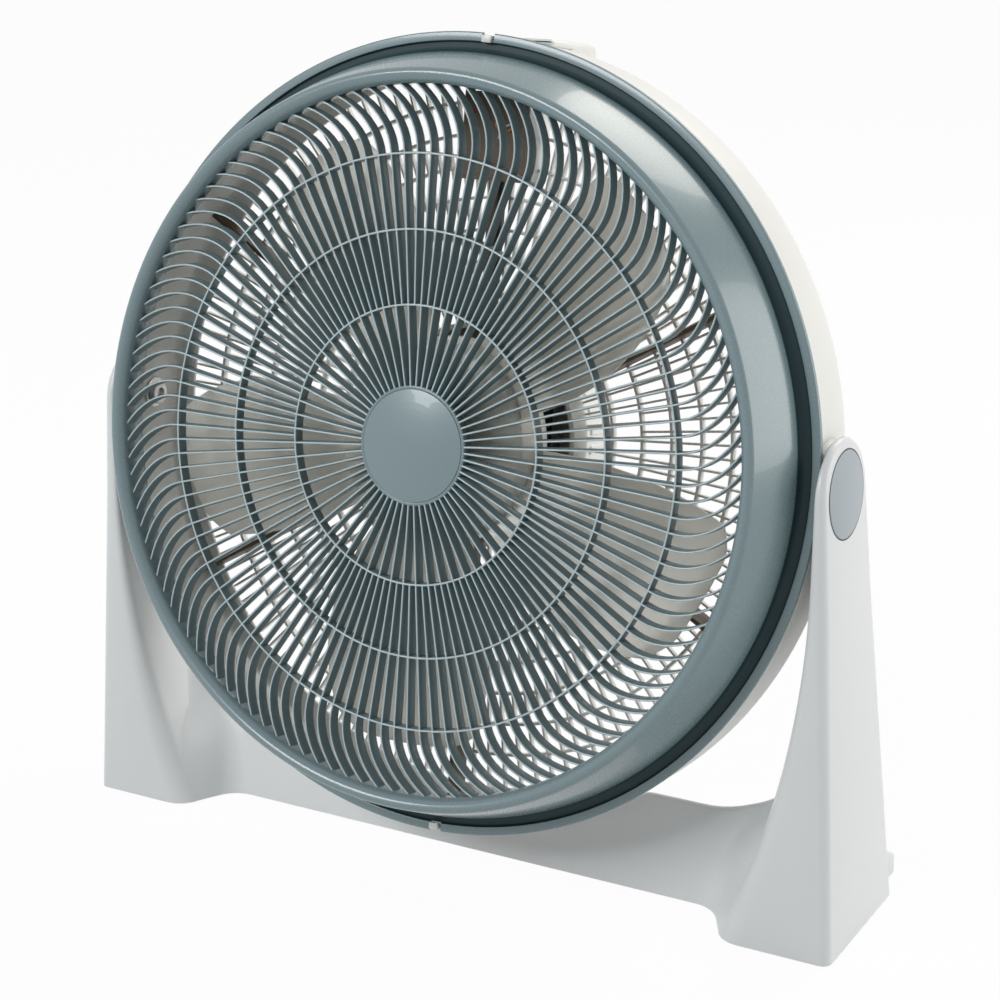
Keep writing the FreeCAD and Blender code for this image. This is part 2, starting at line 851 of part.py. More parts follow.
def rubber_feet():
    wide, deep = pad_size
    pads = [bar((x, y, pad_height / 2), (wide, deep, pad_height)) for x, y in pad_places()]
    return Part.makeCompound(pads + [mirrored(p) for p in pads])


def build_all():
    head = [
        ("front_grille", front_grille),
        ("grille_rings", grille_rings),
        ("centre_badge", centre_badge),
        ("rear_housing", rear_housing),
        ("guard_rings", guard_rings),
        ("carry_handle", carry_handle),
        ("motor_cover", motor_cover),
        ("motor_plate", motor_plate),
        ("stator_core", stator_core),
        ("stator_coils", stator_coils),
        ("rotor", rotor),
        ("motor_shaft", motor_shaft),
        ("hub_nut", hub_nut),
        ("impeller", impeller),
        ("rotary_switch", rotary_switch),
        ("capacitor", capacitor),
        ("switch_cover", switch_cover),
        ("motor_leads", motor_leads),
        ("speed_knob", speed_knob),
        ("drive_key", key_box),
        ("front_bell", lambda: motor_bell(core_front, bell_front)),
        ("rear_bell", lambda: motor_bell(core_back, bell_back)),
    ]
    still = [
        ("stand", stand),
        ("pivot_caps", pivot_caps),
        ("pivot_bolts", pivot_bolts),
        ("pivot_nuts", pivot_nuts),
        ("pivot_washers", pivot_washers),
        ("friction_washers", friction_washers),
        ("rubber_feet", rubber_feet),
    ]
    rows = [(name, make(), head_place) for name, make in head]
    return rows + [(name, make(), stand_place) for name, make in still]


def main():
    os.makedirs("parts", exist_ok=True)
    for name, shape, place in build_all():
        shape.Placement = place.multiply(shape.Placement)
        shape.exportStep(os.path.join("parts", name + ".step"))


main()
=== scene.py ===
import math
import bmesh
import bpy
from mathutils import Matrix, Vector


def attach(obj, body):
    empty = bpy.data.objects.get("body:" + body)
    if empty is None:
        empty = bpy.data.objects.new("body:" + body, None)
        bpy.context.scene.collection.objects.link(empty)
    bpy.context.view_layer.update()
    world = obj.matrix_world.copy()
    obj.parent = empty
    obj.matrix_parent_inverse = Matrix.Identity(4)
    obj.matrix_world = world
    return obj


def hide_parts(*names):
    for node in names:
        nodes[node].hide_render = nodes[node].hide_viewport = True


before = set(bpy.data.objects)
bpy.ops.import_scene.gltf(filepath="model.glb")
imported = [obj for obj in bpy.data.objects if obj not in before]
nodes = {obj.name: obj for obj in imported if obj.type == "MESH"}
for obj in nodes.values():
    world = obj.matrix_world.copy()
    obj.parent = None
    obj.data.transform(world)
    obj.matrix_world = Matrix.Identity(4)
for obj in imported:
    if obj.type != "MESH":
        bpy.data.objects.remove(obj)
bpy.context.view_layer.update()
print("frame loaded:", len(nodes), "nodes")

# where the head sits: its own frame is x right, y up, z forward along the blowing axis
stance = {"tilt": 10.3, "pivotY": 0.0040259, "pivotZ": 0.306}
headMatrix = Matrix.Translation((0, stance["pivotY"], stance["pivotZ"])) @ Matrix.Rotation(
    math.radians(90 - stance["tilt"]), 4, "X"
)
millimetre = Matrix.Scale(0.001, 4)
inHead = headMatrix @ millimetre  # head pieces are drawn in mm in the head's frame
inStand = Matrix.Translation((0, stance["pivotY"], 0)) @ millimetre  # stand pieces in mm, y from the tilt axis


# shader helpers: a wrapped socket takes part in sums, a look builds one material or the sky
class Wire:
    def __init__(self, look, socket):
        self.look = look
        self.socket = socket

    def math(self, operation, other):
        return self.look.node("ShaderNodeMath", {"operation": operation}, {0: self, 1: other})

    def __add__(self, other):
        return self.math("ADD", other)

    def __mul__(self, other):
        return self.math("MULTIPLY", other)


class Look:
    def __init__(self, name, store=bpy.data.materials, shader="Principled BSDF"):
        self.owner = store.new(name)
        self.owner.use_nodes = True
        self.tree = self.owner.node_tree
        self.shader = self.tree.nodes[shader]

    def node(self, kind, settings, inputs, output=0):
        made = self.tree.nodes.new(kind)
        for key, value in settings.items():
            setattr(made, key, value)
        for key, value in inputs.items():
            self.feed(made.inputs[key], value)
        return Wire(self, made.outputs[output])

    def feed(self, socket, value):
        if isinstance(value, Wire):
            self.tree.links.new(value.socket, socket)
        else:
            socket.default_value = value

    def set(self, **values):
        for key, value in values.items():
            self.feed(self.shader.inputs[key.replace("_", " ")], value)
        return self.owner

    def noise(self, scale, detail, stretch=None):
        at = self.node("ShaderNodeTexCoord", {}, {}, "Object")
        if stretch:
            at = self.node("ShaderNodeMapping", {}, {"Vector": at, "Scale": stretch})
        return self.node("ShaderNodeTexNoise", {}, {"Vector": at, "Scale": scale, "Detail": detail})

    def mix(self, factor, first, second):
        return self.node("ShaderNodeMix", {"data_type": "RGBA"}, {0: factor, 6: first, 7: second}, 2)

    def bump(self, height, strength, distance):
        return self.node("ShaderNodeBump", {}, {"Height": height, "Strength": strength, "Distance": distance})


def colour(red, green, blue):
    def linear(value):
        value /= 255
        return value / 12.92 if value <= 0.04045 else ((value + 0.055) / 1.055) ** 2.4
    return (linear(red), linear(green), linear(blue), 1.0)


# moulded plastics: a fine grain in the gloss, a faint cloud in the tint
plasticGrain = {
    "cloudScale": 7.0, "cloudDetail": 3.0, "detail": 1.0, "spread": 0.08, "depth": 0.0004,
    "scatter": 0.006, "scatterTint": (1.0, 1.0, 0.96),
}
plainPlastic = {"grain": 800, "relief": 0.01, "coat": 0.0, "shine": 0.5, "milky": 0.0}
plastics = {
    "greyGrille": {
        "tint": (116, 136, 140), "cloud": (110, 130, 135), "gloss": 0.27, "grain": 1500, "relief": 0.006, "coat": 0.25,
    },
    # painted shade: a near-black teal for the groove under the band
    "grooveShade": {
        "tint": (42, 62, 66), "cloud": (38, 57, 61), "gloss": 0.45, "shine": 0.2, "grain": 900, "relief": 0.02,
    },
    # painted highlight: a lighter tint for the rib and ring fronts
    "paintedRibHighlight": {
        "tint": (174, 189, 192), "cloud": (167, 182, 186), "gloss": 0.3, "grain": 1500, "relief": 0.004, "coat": 0.2,
    },
    # painted shade: a darker tint for the rib and ring sides
    "paintedRibShade": {
        "tint": (112, 131, 135), "cloud": (106, 125, 129), "gloss": 0.36, "grain": 1500, "relief": 0.004, "coat": 0.1,
    },
    "greyCap": {
        "tint": (122, 141, 145), "cloud": (116, 135, 140), "gloss": 0.3, "grain": 1500, "relief": 0.006, "coat": 0.2,
    },
    "paleHousing": {"tint": (222, 222, 219), "cloud": (216, 216, 212), "gloss": 0.36, "relief": 0.03, "coat": 0.1},
    "paleStand": {
        "tint": (212, 215, 216), "cloud": (206, 209, 210), "gloss": 0.4, "grain": 700, "relief": 0.05, "coat": 0.08,
    },
    "pivotGrey": {"tint": (152, 161, 167), "cloud": (146, 155, 161), "gloss": 0.36, "relief": 0.03, "coat": 0.1},
    "warmBlade": {"tint": (236, 231, 221), "cloud": (230, 225, 215), "gloss": 0.3, "coat": 0.1, "milky": 0.6},
    # painted shade: a warm brown for the spoke sides and the switch cover
    "paintedShadeBrown": {"tint": (96, 77, 56), "cloud": (88, 70, 50), "gloss": 0.45, "relief": 0.03},
    "knobGrey": {"tint": (120, 131, 138), "cloud": (112, 123, 130), "gloss": 0.4, "relief": 0.04, "coat": 0.1},
    "wireRed": {"tint": (168, 46, 44), "cloud": (160, 42, 40), "gloss": 0.4},
    "wireAmber": {"tint": (196, 146, 62), "cloud": (188, 138, 56), "gloss": 0.4},
    "wirePale": {"tint": (216, 214, 206), "cloud": (208, 206, 198), "gloss": 0.4},
    "darkMoulding": {"tint": (38, 38, 40), "cloud": (32, 32, 34), "gloss": 0.45, "grain": 600, "relief": 0.05},
}


def makePlastic(name):
    kit = {**plainPlastic, **plastics[name]}
    fine = plasticGrain
    look = Look(name)
    cloud = look.noise(fine["cloudScale"], fine["cloudDetail"])
    grain = look.noise(kit["grain"], fine["detail"])
    return look.set(
        Base_Color=look.mix(cloud, colour(*kit["tint"]), colour(*kit["cloud"])),
        Roughness=grain * fine["spread"] + (kit["gloss"] - fine["spread"] / 2),
        Coat_Weight=kit["coat"],
        Specular_IOR_Level=kit["shine"],
        Subsurface_Weight=kit["milky"],
        Subsurface_Scale=fine["scatter"],
        Subsurface_Radius=fine["scatterTint"],
        Normal=look.bump(grain, kit["relief"], fine["depth"]),
    )


# metals and rubber: fine streaks in the gloss
metalGrain = {"scale": 260.0, "detail": 2.0, "spread": 0.16, "relief": 0.05, "depth": 0.0003}
metals = {
    "brightSteel": {"tint": (196, 196, 194), "rough": 0.3, "metal": 1.0},
    "castBell": {"tint": (176, 177, 178), "rough": 0.5, "metal": 1.0},
    "laminatedCore": {"tint": (112, 112, 114), "rough": 0.5, "metal": 1.0, "stretch": (1, 12, 1)},
    "windingCopper": {"tint": (184, 104, 58), "rough": 0.38, "metal": 1.0},
    "pressedPlate": {"tint": (92, 93, 95), "rough": 0.5, "metal": 0.6},
    "blackRubber": {"tint": (30, 30, 31), "rough": 0.75, "metal": 0.0},
}


def makeMetal(name):
    kit, fine = metals[name], metalGrain
    look = Look(name)
    streak = look.noise(fine["scale"], fine["detail"], kit.get("stretch"))
    return look.set(
        Base_Color=colour(*kit["tint"]),
        Roughness=streak * fine["spread"] + (kit["rough"] - fine["spread"] / 2),
        Metallic=kit["metal"],
        Normal=look.bump(streak, fine["relief"], fine["depth"]),
    )


looks = {name: makePlastic(name) for name in plastics}
looks.update({name: makeMetal(name) for name in metals})

# the switch cover takes the painted brown shade look; the rest are the parts' own colours
finishes = {
    "paleStand": ["stand"], "pivotGrey": ["pivot_caps"], "greyGrille": ["front_grille", "grille_rings"],
    "greyCap": ["centre_badge"], "warmBlade": ["impeller"], "knobGrey": ["speed_knob"], "paintedShadeBrown": ["switch_cover"],
    "paleHousing": ["rear_housing", "guard_rings", "carry_handle", "motor_cover"],
    "darkMoulding": ["rotary_switch", "capacitor", "motor_leads"], "windingCopper": ["stator_coils"],
    "brightSteel": ["pivot_bolts", "pivot_nuts", "pivot_washers", "motor_shaft", "hub_nut", "drive_key"],
    "castBell": ["front_bell", "rear_bell"], "laminatedCore": ["stator_core", "rotor"],
    "pressedPlate": ["motor_plate"], "blackRubber": ["friction_washers", "rubber_feet"],
}
for lookName, nodeNames in finishes.items():
    for nodeName in nodeNames:
        nodes[nodeName].data.materials.clear()
        nodes[nodeName].data.materials.append(looks[lookName])
print("looks made:", len(looks))


# modelling helpers
def polar(radius, degrees):
    return Vector((radius * math.cos(math.radians(degrees)), radius * math.sin(math.radians(degrees)), 0))


def everything(bm):
    return bm.verts[:] + bm.edges[:] + bm.faces[:]


def vertsOf(geometry):
    return [item for item in geometry if isinstance(item, bmesh.types.BMVert)]


def facesOf(geometry):
    return [item for item in geometry if isinstance(item, bmesh.types.BMFace)]


def shift(bm, x, y, z):
    bmesh.ops.translate(bm, vec=(x, y, z), verts=bm.verts[:])
    return bm


def turnAll(bm, degrees, axis="Z"):
    bmesh.ops.rotate(bm, verts=bm.verts[:], cent=(0, 0, 0), matrix=Matrix.Rotation(math.radians(degrees), 3, axis))
    return bm


def joinInto(target, source):
    holder = bpy.data.meshes.new("holder")
    source.to_mesh(holder)
    source.free()
    target.from_mesh(holder)
    bpy.data.meshes.remove(holder)


def easeEdges(bm, edges, ease, segments, **more):
    bmesh.ops.bevel(
        bm, geom=edges, offset=ease, offset_type="OFFSET", segments=segments, profile=0.5, affect="EDGES",
        material=-1, **more,
    )


def roundWire(points, segments):
    # closed profile of (radius, z, rounding), its corners eased by a vertex bevel
    bm = bmesh.new()
    corners = [bm.verts.new((r, 0, z)) for r, z, rounding in points]
    for first, second in zip(corners, corners[1:] + corners[:1]):
        bm.edges.new((first, second))
    for corner, (r, z, rounding) in zip(corners, points):
        if rounding:
            bmesh.ops.bevel(
                bm, geom=[corner], offset=rounding, offset_type="OFFSET", segments=segments,
                profile=0.5, affect="VERTICES", material=-1,
            )
    return bm


def spin(bm, angle, steps, merge):
    bmesh.ops.spin(
        bm, geom=everything(bm), cent=(0, 0, 0), axis=(0, 0, 1), dvec=(0, 0, 0), angle=angle, steps=steps,
        use_merge=merge, use_duplicate=False,
    )
    return bm


def spinRing(points, steps, segments=4):
    return spin(roundWire(points, segments), math.tau, steps, True)


def spinArc(points, steps, start, sweep, segments=4):
    # part of a ring, with both ends closed
    bm = roundWire(points, segments)
    bmesh.ops.contextual_create(bm, geom=bm.edges[:])
    return spin(turnAll(bm, start), math.radians(sweep), steps, False)


def roundBox(low, high, ease, segments=2):
    bm = bmesh.new()
    bmesh.ops.create_cube(bm, size=1.0)
    low, high = Vector(low), Vector(high)
    bmesh.ops.scale(bm, vec=high - low, verts=bm.verts[:])
    shift(bm, *((high + low) / 2))
    if ease:
        easeEdges(bm, bm.edges[:], ease, segments)
    return bm


def roundDisc(radius, low, high, ease, sides):
    bm = bmesh.new()
    bmesh.ops.create_cone(bm, cap_ends=True, segments=sides, radius1=radius, radius2=radius, depth=high - low)
    shift(bm, 0, 0, (low + high) / 2)
    rims = [e for e in bm.edges if abs(e.verts[0].co.z - e.verts[1].co.z) < 1e-6]
    easeEdges(bm, rims, ease, 3)
    return bm


def repeatRound(bm, angles):
    # copies of everything in bm, turned about the head's axis
    shape = everything(bm)
    for angle in angles:
        copy = bmesh.ops.duplicate(bm, geom=shape)["geom"]
        turn = Matrix.Rotation(math.radians(angle), 3, "Z")
        bmesh.ops.rotate(bm, verts=vertsOf(copy), cent=(0, 0, 0), matrix=turn)
    return bm


def bothSides(bm):
    # the same shape on the other side of the fan
    copy = bmesh.ops.duplicate(bm, geom=everything(bm))["geom"]
    bmesh.ops.scale(bm, vec=(-1, 1, 1), verts=vertsOf(copy))
    return bm


def makePiece(name, bm, lookName, body, node=None, place=inHead, sharp=40):
    bm.transform(place)
    bmesh.ops.remove_doubles(bm, verts=bm.verts[:], dist=2e-6)
    bmesh.ops.recalc_face_normals(bm, faces=bm.faces[:])
    mesh = bpy.data.meshes.new(name)
    bm.to_mesh(mesh)
    bm.free()
    mesh.polygons.foreach_set("use_smooth", [True] * len(mesh.polygons))
    mesh.set_sharp_from_angle(angle=math.radians(sharp))
    for look in [lookName] if isinstance(lookName, str) else lookName:
        mesh.materials.append(looks[look])
    piece = bpy.data.objects.new(name, mesh)
    bpy.context.scene.collection.objects.link(piece)
    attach(piece, body)
    if node:
        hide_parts(node)
    print("made", name, len(mesh.polygons))
    return piece


# front frame: lip, bead, tapered band, groove painted dark as shade, and flange with two latch gaps; profiles are
# (radius, z, rounding)
frontFrame = {
    "steps": 180, "bandRounds": 5, "flangeRounds": 3, "latchAngle": 87.0, "latchHalf": 1.0, "flangeSteps": (86, 92),
    "grooveRadii": (256.9, 265.6), "grooveDepths": (22.4, 30.0),
    "band": [
        (236.0, 56.0, 0.6), (236.0, 69.0, 4.2), (244.6, 74.0, 5.3), (257.5, 34.5, 4.5), (258.6, 24.6, 3.0),
        (265.2, 23.2, 0.4), (265.8, 21.2, 0), (256.6, 21.2, 0), (254.6, 33.5, 0), (242.2, 69.5, 1.0),
        (239.0, 56.0, 0.6),
    ],
    "flange": [(264.9, 24.4, 0), (265.9, 25.0, 0.3), (271.5, 25.0, 1.0), (271.5, 21.5, 0.6), (264.9, 21.5, 0)],
    "looks": ["greyGrille", "grooveShade", "paintedRibHighlight", "paintedRibShade"], "sharp": 60,
}
# grille: straight ribs that curl round outside the outer ring, with a painted highlight on their fronts and painted
# shade on their sides
grilleRibs = {
    "count": 120, "half": 0.95, "front": 65.0, "back": 56.0, "ease": 0.3, "tip": 0.6, "capEdge": 39.0,
    "shortStart": 92.5, "bendStart": 192.5, "lip": 236.6, "turn": 6.6, "bends": 9,
}
grilleRings = {
    "radii": (94.0, 143.25, 192.5), "width": 2.0, "draft": 0.35, "edge": 0.6, "front": 65.05, "back": 56.6,
    "frontEase": 0.4, "backEase": 0.3, "steps": 120, "rounds": 2, "looks": ["paintedRibHighlight", "paintedRibShade"], "sharp": 60,
}
capRim = {
    "radius": 40.0, "front": 65.3, "inner": 37.7, "back": 56.0, "drop": 0.3, "eases": (0.5, 1.1, 0.3), "steps": 96,
    "rounds": 3, "floorOverlap": 0.4, "floorGap": 0.2, "floorEase": 0.2, "floorSides": 72,
}
badge = {"radius": 37.5, "rise": 69.2, "edge": 65.2, "back": 64.0, "sides": 96, "rows": 9}


def ribPlace(kit, radius):
    # place of the rib's section: along the radius, then swinging round
    share = max(0.0, (radius - kit["bendStart"]) / (kit["lip"] - kit["bendStart"]))
    turn = kit["turn"] * share * share
    swing = radius * math.radians(2 * kit["turn"] * share) / (kit["lip"] - kit["bendStart"])
    lean = math.degrees(math.atan(swing))
    return Matrix.Translation(polar(radius, turn)) @ Matrix.Rotation(math.radians(turn + lean), 4, "Z")


def shadeDepth(bm, level, kit):
    # the painted highlight look for the faces in front of a level, the painted shade look for the deeper ones
    edge, side = kit["looks"].index("paintedRibHighlight"), kit["looks"].index("paintedRibShade")
    for face in bm.faces:
        face.material_index = edge if face.calc_center_median().z > level else side


def makeRib(kit, start):
    bm = bmesh.new()
    half, tip, ease, front, back = (kit[key] for key in ("half", "tip", "ease", "front", "back"))
    outline = [
        (-half, back), (half, back), (tip, front - ease), (tip - ease, front), (ease - tip, front),
        (-tip, front - ease),
    ]
    before = ribPlace(kit, start)
    end = bm.faces.new([bm.verts.new(before @ Vector((0, across, z))) for across, z in outline])
    span = kit["lip"] - kit["bendStart"]
    for radius in [kit["bendStart"] + span * k / kit["bends"] for k in range(kit["bends"] + 1)]:
        grown = bmesh.ops.extrude_face_region(bm, geom=[end])["geom"]
        end = facesOf(grown)[0]
        after = ribPlace(kit, radius)
        bmesh.ops.transform(bm, matrix=after @ before.inverted(), verts=end.verts)
        before = after
    shadeDepth(bm, front - ease, frontFrame)
    return bm


def makeFrontGrille():
    kit = frontFrame
    bm = spinRing(kit["band"], kit["steps"], kit["bandRounds"])
    latch, gap = kit["latchAngle"], kit["latchHalf"]
    arcs = ((-latch + gap, 2 * latch - 2 * gap), (latch + gap, 360 - 2 * latch - 2 * gap))
    for steps, (start, sweep) in zip(kit["flangeSteps"], arcs):
        joinInto(bm, spinArc(kit["flange"], steps, start, sweep, kit["flangeRounds"]))
    (inner, outer), (deep, shallow) = kit["grooveRadii"], kit["grooveDepths"]
    for face in bm.faces:  # the groove gets painted shade, for the shade of the band
        middle = face.calc_center_median()
        if inner < math.hypot(middle.x, middle.y) < outer and deep < middle.z < shallow:
            face.material_index = kit["looks"].index("grooveShade")
    ribs = grilleRibs
    pitch = 360 / ribs["count"]
    turns = [2 * pitch * k for k in range(1, ribs["count"] // 2)]
    joinInto(bm, repeatRound(makeRib(ribs, ribs["capEdge"]), turns))
    joinInto(bm, repeatRound(turnAll(makeRib(ribs, ribs["shortStart"]), pitch), turns))
    rim = capRim
    inner, outer, back, front = (rim[key] for key in ("inner", "radius", "back", "front"))
    backEase, frontEase, innerEdge = rim["eases"]
    joinInto(bm, spinRing([
        (inner, back, 0), (outer, back, backEase), (outer, front, frontEase), (inner, front - rim["drop"], innerEdge),
    ], rim["steps"], rim["rounds"]))
    top = badge["back"] - rim["floorGap"]
    joinInto(bm, roundDisc(inner + rim["floorOverlap"], back, top, rim["floorEase"], rim["floorSides"]))
    makePiece("frontGrille", bm, kit["looks"], "head", "front_grille", inHead, kit["sharp"])


def makeGrilleRings():
    kit = grilleRings
    bm = bmesh.new()
    for radius in kit["radii"]:
        inner, draft = radius - kit["width"], kit["draft"]
        joinInto(bm, spinRing([
            (inner, kit["back"], kit["backEase"]), (radius, kit["back"], kit["backEase"]),
            (radius - draft, kit["front"], kit["frontEase"]), (inner + draft, kit["front"], kit["frontEase"]),
        ], kit["steps"], kit["rounds"]))
    shadeDepth(bm, kit["front"] - kit["edge"], kit)
    makePiece("grilleRings", bm, kit["looks"], "head", "grille_rings", inHead, kit["sharp"])


def makeBadge():
    kit = badge
    bm = bmesh.new()
    bmesh.ops.create_circle(bm, cap_ends=True, segments=kit["sides"], radius=kit["radius"])
    shift(bm, 0, 0, kit["back"])
    dome = bm.faces[:]
    for row in range(kit["rows"]):
        share = 1 - row / kit["rows"]
        dome = facesOf(bmesh.ops.extrude_face_region(bm, geom=dome)["geom"])
        for corner in dome[0].verts:
            flat = Vector((corner.co.x, corner.co.y, 0)).normalized() * kit["radius"] * share
            corner.co = (flat.x, flat.y, kit["rise"] - (kit["rise"] - kit["edge"]) * share * share)
    makePiece("centreBadge", bm, "greyCap", "head", "centre_badge")


# rear housing: drum, ears, spokes, hub ring, switch box, hooks and fine guard ribs
drumMouth = 252.0
drum = {
    "steps": 180, "rounds": 5,
    "wall": [
        (269.5, 21.5, 0.8), (269.5, -26.0, 7.0), (261.0, -37.0, 3.0), (drumMouth, -37.0, 0.8), (drumMouth, -34.3, 0.8),
        (264.6, -25.6, 4.0), (266.8, 21.5, 0.6),
    ],
    "earRadius": 34.0, "earInner": 262.1, "earFace": 271.6, "earFront": 21.5, "earEase": 1.4, "earSides": 72,
    "spokes": 6, "spokeHalf": 1.6, "spokeInner": 75.5, "spokeOuter": 265.6, "spokeBack": -37.0, "spokeFront": -17.0,
    "spokeEnd": -27.0, "spokeTuck": 4.0, "spokeEase": 0.6,
    "hubOuter": 78.0, "hubInner": 74.0, "hubFront": -18.0, "hubEases": (0.6, 0.8), "hubSteps": 96, "hubRounds": 2,
    "looks": ["paleHousing", "paintedShadeBrown"],
}
switchBox = {
    "half": 25.0, "low": 174.5, "high": 234.0, "back": -52.0, "front": -20.0, "wall": 2.5, "ease": 2.5, "overlap": 0.5,
}
latchHook = {
    "low": (267.1, -3.5, 15.5), "high": (269.85, 3.5, 25.4), "ease": 0.4,
    "nose": 2.0, "noseOverlap": 0.2, "noseEase": 0.5,
}
guard = {
    "radii": (98.0, 120.0, 142.0, 164.0, 186.0, 208.0, 230.0), "width": 2.2, "back": -43.0, "front": -37.0,
    "backEase": 0.8, "frontEase": 0.5, "steps": 144, "rounds": 2, "tuck": 0.2,
    "ribs": 120, "ribHalf": 0.75, "ribBack": -41.5, "ribFront": -37.6, "ribOverlap": 1.0, "boxOverlap": 0.6,
}


def makeSpoke(outer):
    # its outer end stays inside the drum's rounded shoulder; all but its rear face get a painted warm brown shade
    kit = drum
    bm = roundBox(
        (kit["spokeInner"], -kit["spokeHalf"], kit["spokeBack"]), (outer, kit["spokeHalf"], kit["spokeFront"]),
        kit["spokeEase"],
    )
    for vert in bm.verts:
        if vert.co.x > drumMouth and vert.co.z < kit["spokeEnd"]:
            vert.co.x = drumMouth + kit["spokeTuck"]
    bmesh.ops.recalc_face_normals(bm, faces=bm.faces[:])
    for face in bm.faces:
        if face.normal.z > -0.5:
            face.material_index = kit["looks"].index("paintedShadeBrown")
    return bm


def makeSwitchBox():
    kit = switchBox
    bm = roundBox((-kit["half"], kit["low"], kit["back"]), (kit["half"], kit["high"], kit["front"]), 0)
    mouth = [f for f in bm.faces if f.normal.z > 0.5]
    bmesh.ops.inset_region(bm, faces=mouth, thickness=kit["wall"], use_even_offset=True)
    sunk = bmesh.ops.extrude_face_region(bm, geom=mouth)["geom"]
    bmesh.ops.translate(bm, vec=(0, 0, kit["back"] - kit["front"] + kit["wall"]), verts=vertsOf(sunk))
    bmesh.ops.delete(bm, geom=mouth, context="FACES")
    outside = [e for e in bm.edges if all(abs(v.co.z - kit["back"]) < 0.1 for v in e.verts)]
    easeEdges(bm, outside, kit["ease"], 3)
    return bm


def makeHook():
    kit = latchHook
    low, high = kit["low"], kit["high"]
    bm = roundBox(low, high, kit["ease"])
    joinInto(bm, roundBox(
        (low[0] - kit["nose"], low[1], high[2] - kit["noseOverlap"]), (high[0], high[1], high[2] + kit["nose"]),
        kit["noseEase"],
    ))
    return bm


def makeRearHousing():
    kit = drum
    bm = spinRing(kit["wall"], kit["steps"], kit["rounds"])
    ear = roundDisc(kit["earRadius"], kit["earInner"], kit["earFace"], kit["earEase"], kit["earSides"])
    turnAll(ear, 90, "Y")
    bmesh.ops.bisect_plane(
        ear, geom=everything(ear), plane_co=(0, 0, kit["earFront"]), plane_no=(0, 0, 1), clear_outer=True,
    )
    bmesh.ops.holes_fill(ear, edges=[e for e in ear.edges if e.is_boundary], sides=0)
    joinInto(bm, bothSides(ear))
    # the upper spoke stops at the switch box
    box = switchBox
    pitch = 360 / kit["spokes"]
    spoke = turnAll(makeSpoke(kit["spokeOuter"]), pitch / 2)
    joinInto(bm, repeatRound(spoke, [pitch * k for k in range(2, kit["spokes"])]))
    joinInto(bm, turnAll(makeSpoke(box["low"] + box["overlap"]), 90))
    innerEdge, outerEdge = kit["hubEases"]
    joinInto(bm, spinRing([
        (kit["hubInner"], kit["spokeBack"], innerEdge), (kit["hubOuter"], kit["spokeBack"], outerEdge),
        (kit["hubOuter"], kit["hubFront"], outerEdge), (kit["hubInner"], kit["hubFront"], innerEdge),
    ], kit["hubSteps"], kit["hubRounds"]))
    joinInto(bm, makeSwitchBox())
    latch = frontFrame["latchAngle"]
    joinInto(bm, repeatRound(turnAll(makeHook(), latch), [-2 * latch]))
    fine = guard
    pitch = 360 / fine["ribs"]
    for k in range(fine["ribs"]):
        angle = (k + 0.5) * pitch
        inner = kit["hubOuter"] - fine["ribOverlap"] if k % 2 else fine["radii"][1]
        outer = drumMouth + fine["ribOverlap"]
        if abs(polar(box["low"], angle).x) < box["half"] and 0 < angle < 180:
            outer = box["low"] / math.sin(math.radians(angle)) + fine["boxOverlap"]
        rib = roundBox((inner, -fine["ribHalf"], fine["ribBack"]), (outer, fine["ribHalf"], fine["ribFront"]), 0)
        joinInto(bm, turnAll(rib, angle))
    makePiece("rearHousing", bm, kit["looks"], "head", "rear_housing")


def makeGuardRings():
    # rings that would cross the switch box end at its sides
    kit = guard
    bm = bmesh.new()
    for radius in kit["radii"]:
        inner = radius - kit["width"]
        section = [
            (inner, kit["back"], kit["backEase"]), (radius, kit["back"], kit["backEase"]),
            (radius, kit["front"], kit["frontEase"]), (inner, kit["front"], kit["frontEase"]),
        ]
        if radius < switchBox["low"] or radius > switchBox["high"]:
            joinInto(bm, spinRing(section, kit["steps"], kit["rounds"]))
        else:
            edge = math.degrees(math.asin(switchBox["half"] / radius)) - kit["tuck"]
            joinInto(bm, spinArc(section, kit["steps"], 90 + edge, 360 - 2 * edge, kit["rounds"]))
    makePiece("guardRings", bm, "paleHousing", "head", "guard_rings")


# coloured wire loops tacked to the plate in front of the switch, which is painted dark brown as shade: look, x, y,
# bow, start and sweep
wires = {
    "front": -17.2, "thick": 0.9, "sides": 8, "steps": 12,
    "loops": (
        ("wireRed", -13.0, 212.0, 9.0, 20, 150), ("wireAmber", 8.0, 216.0, 8.0, 200, 140),
        ("wirePale", 14.0, 203.0, 10.0, 60, 120),
    ),
}


def makeWires():
    kit = wires
    bm = bmesh.new()
    ring = [polar(kit["thick"], 360 / kit["sides"] * k) for k in range(kit["sides"])]
    for index, (lookName, x, y, bow, start, sweep) in enumerate(kit["loops"]):
        loop = spinArc([(bow + at.x, at.y, 0) for at in ring], kit["steps"], start, sweep)
        for face in loop.faces:
            face.material_index = index
        joinInto(bm, shift(loop, x, y, kit["front"]))
    piece = makePiece("switchWires", bm, [row[0] for row in kit["loops"]], "head")


# motor cover: a rounded cup with sunk air slots round its side
motorCover = {
    "radius": 77.0, "mouth": -37.0, "back": -86.0, "ease": 9.0, "wall": 2.5, "steps": 72, "rounds": 5, "centre": 0.5,
    "waist": (1.0, 8.0), "lipEase": 0.5, "innerEase": 6.0, "slotBand": (2.0, 9.0), "slotPitch": 5.0, "slotRim": 1.3,
    "slotDepth": 1.4,
}


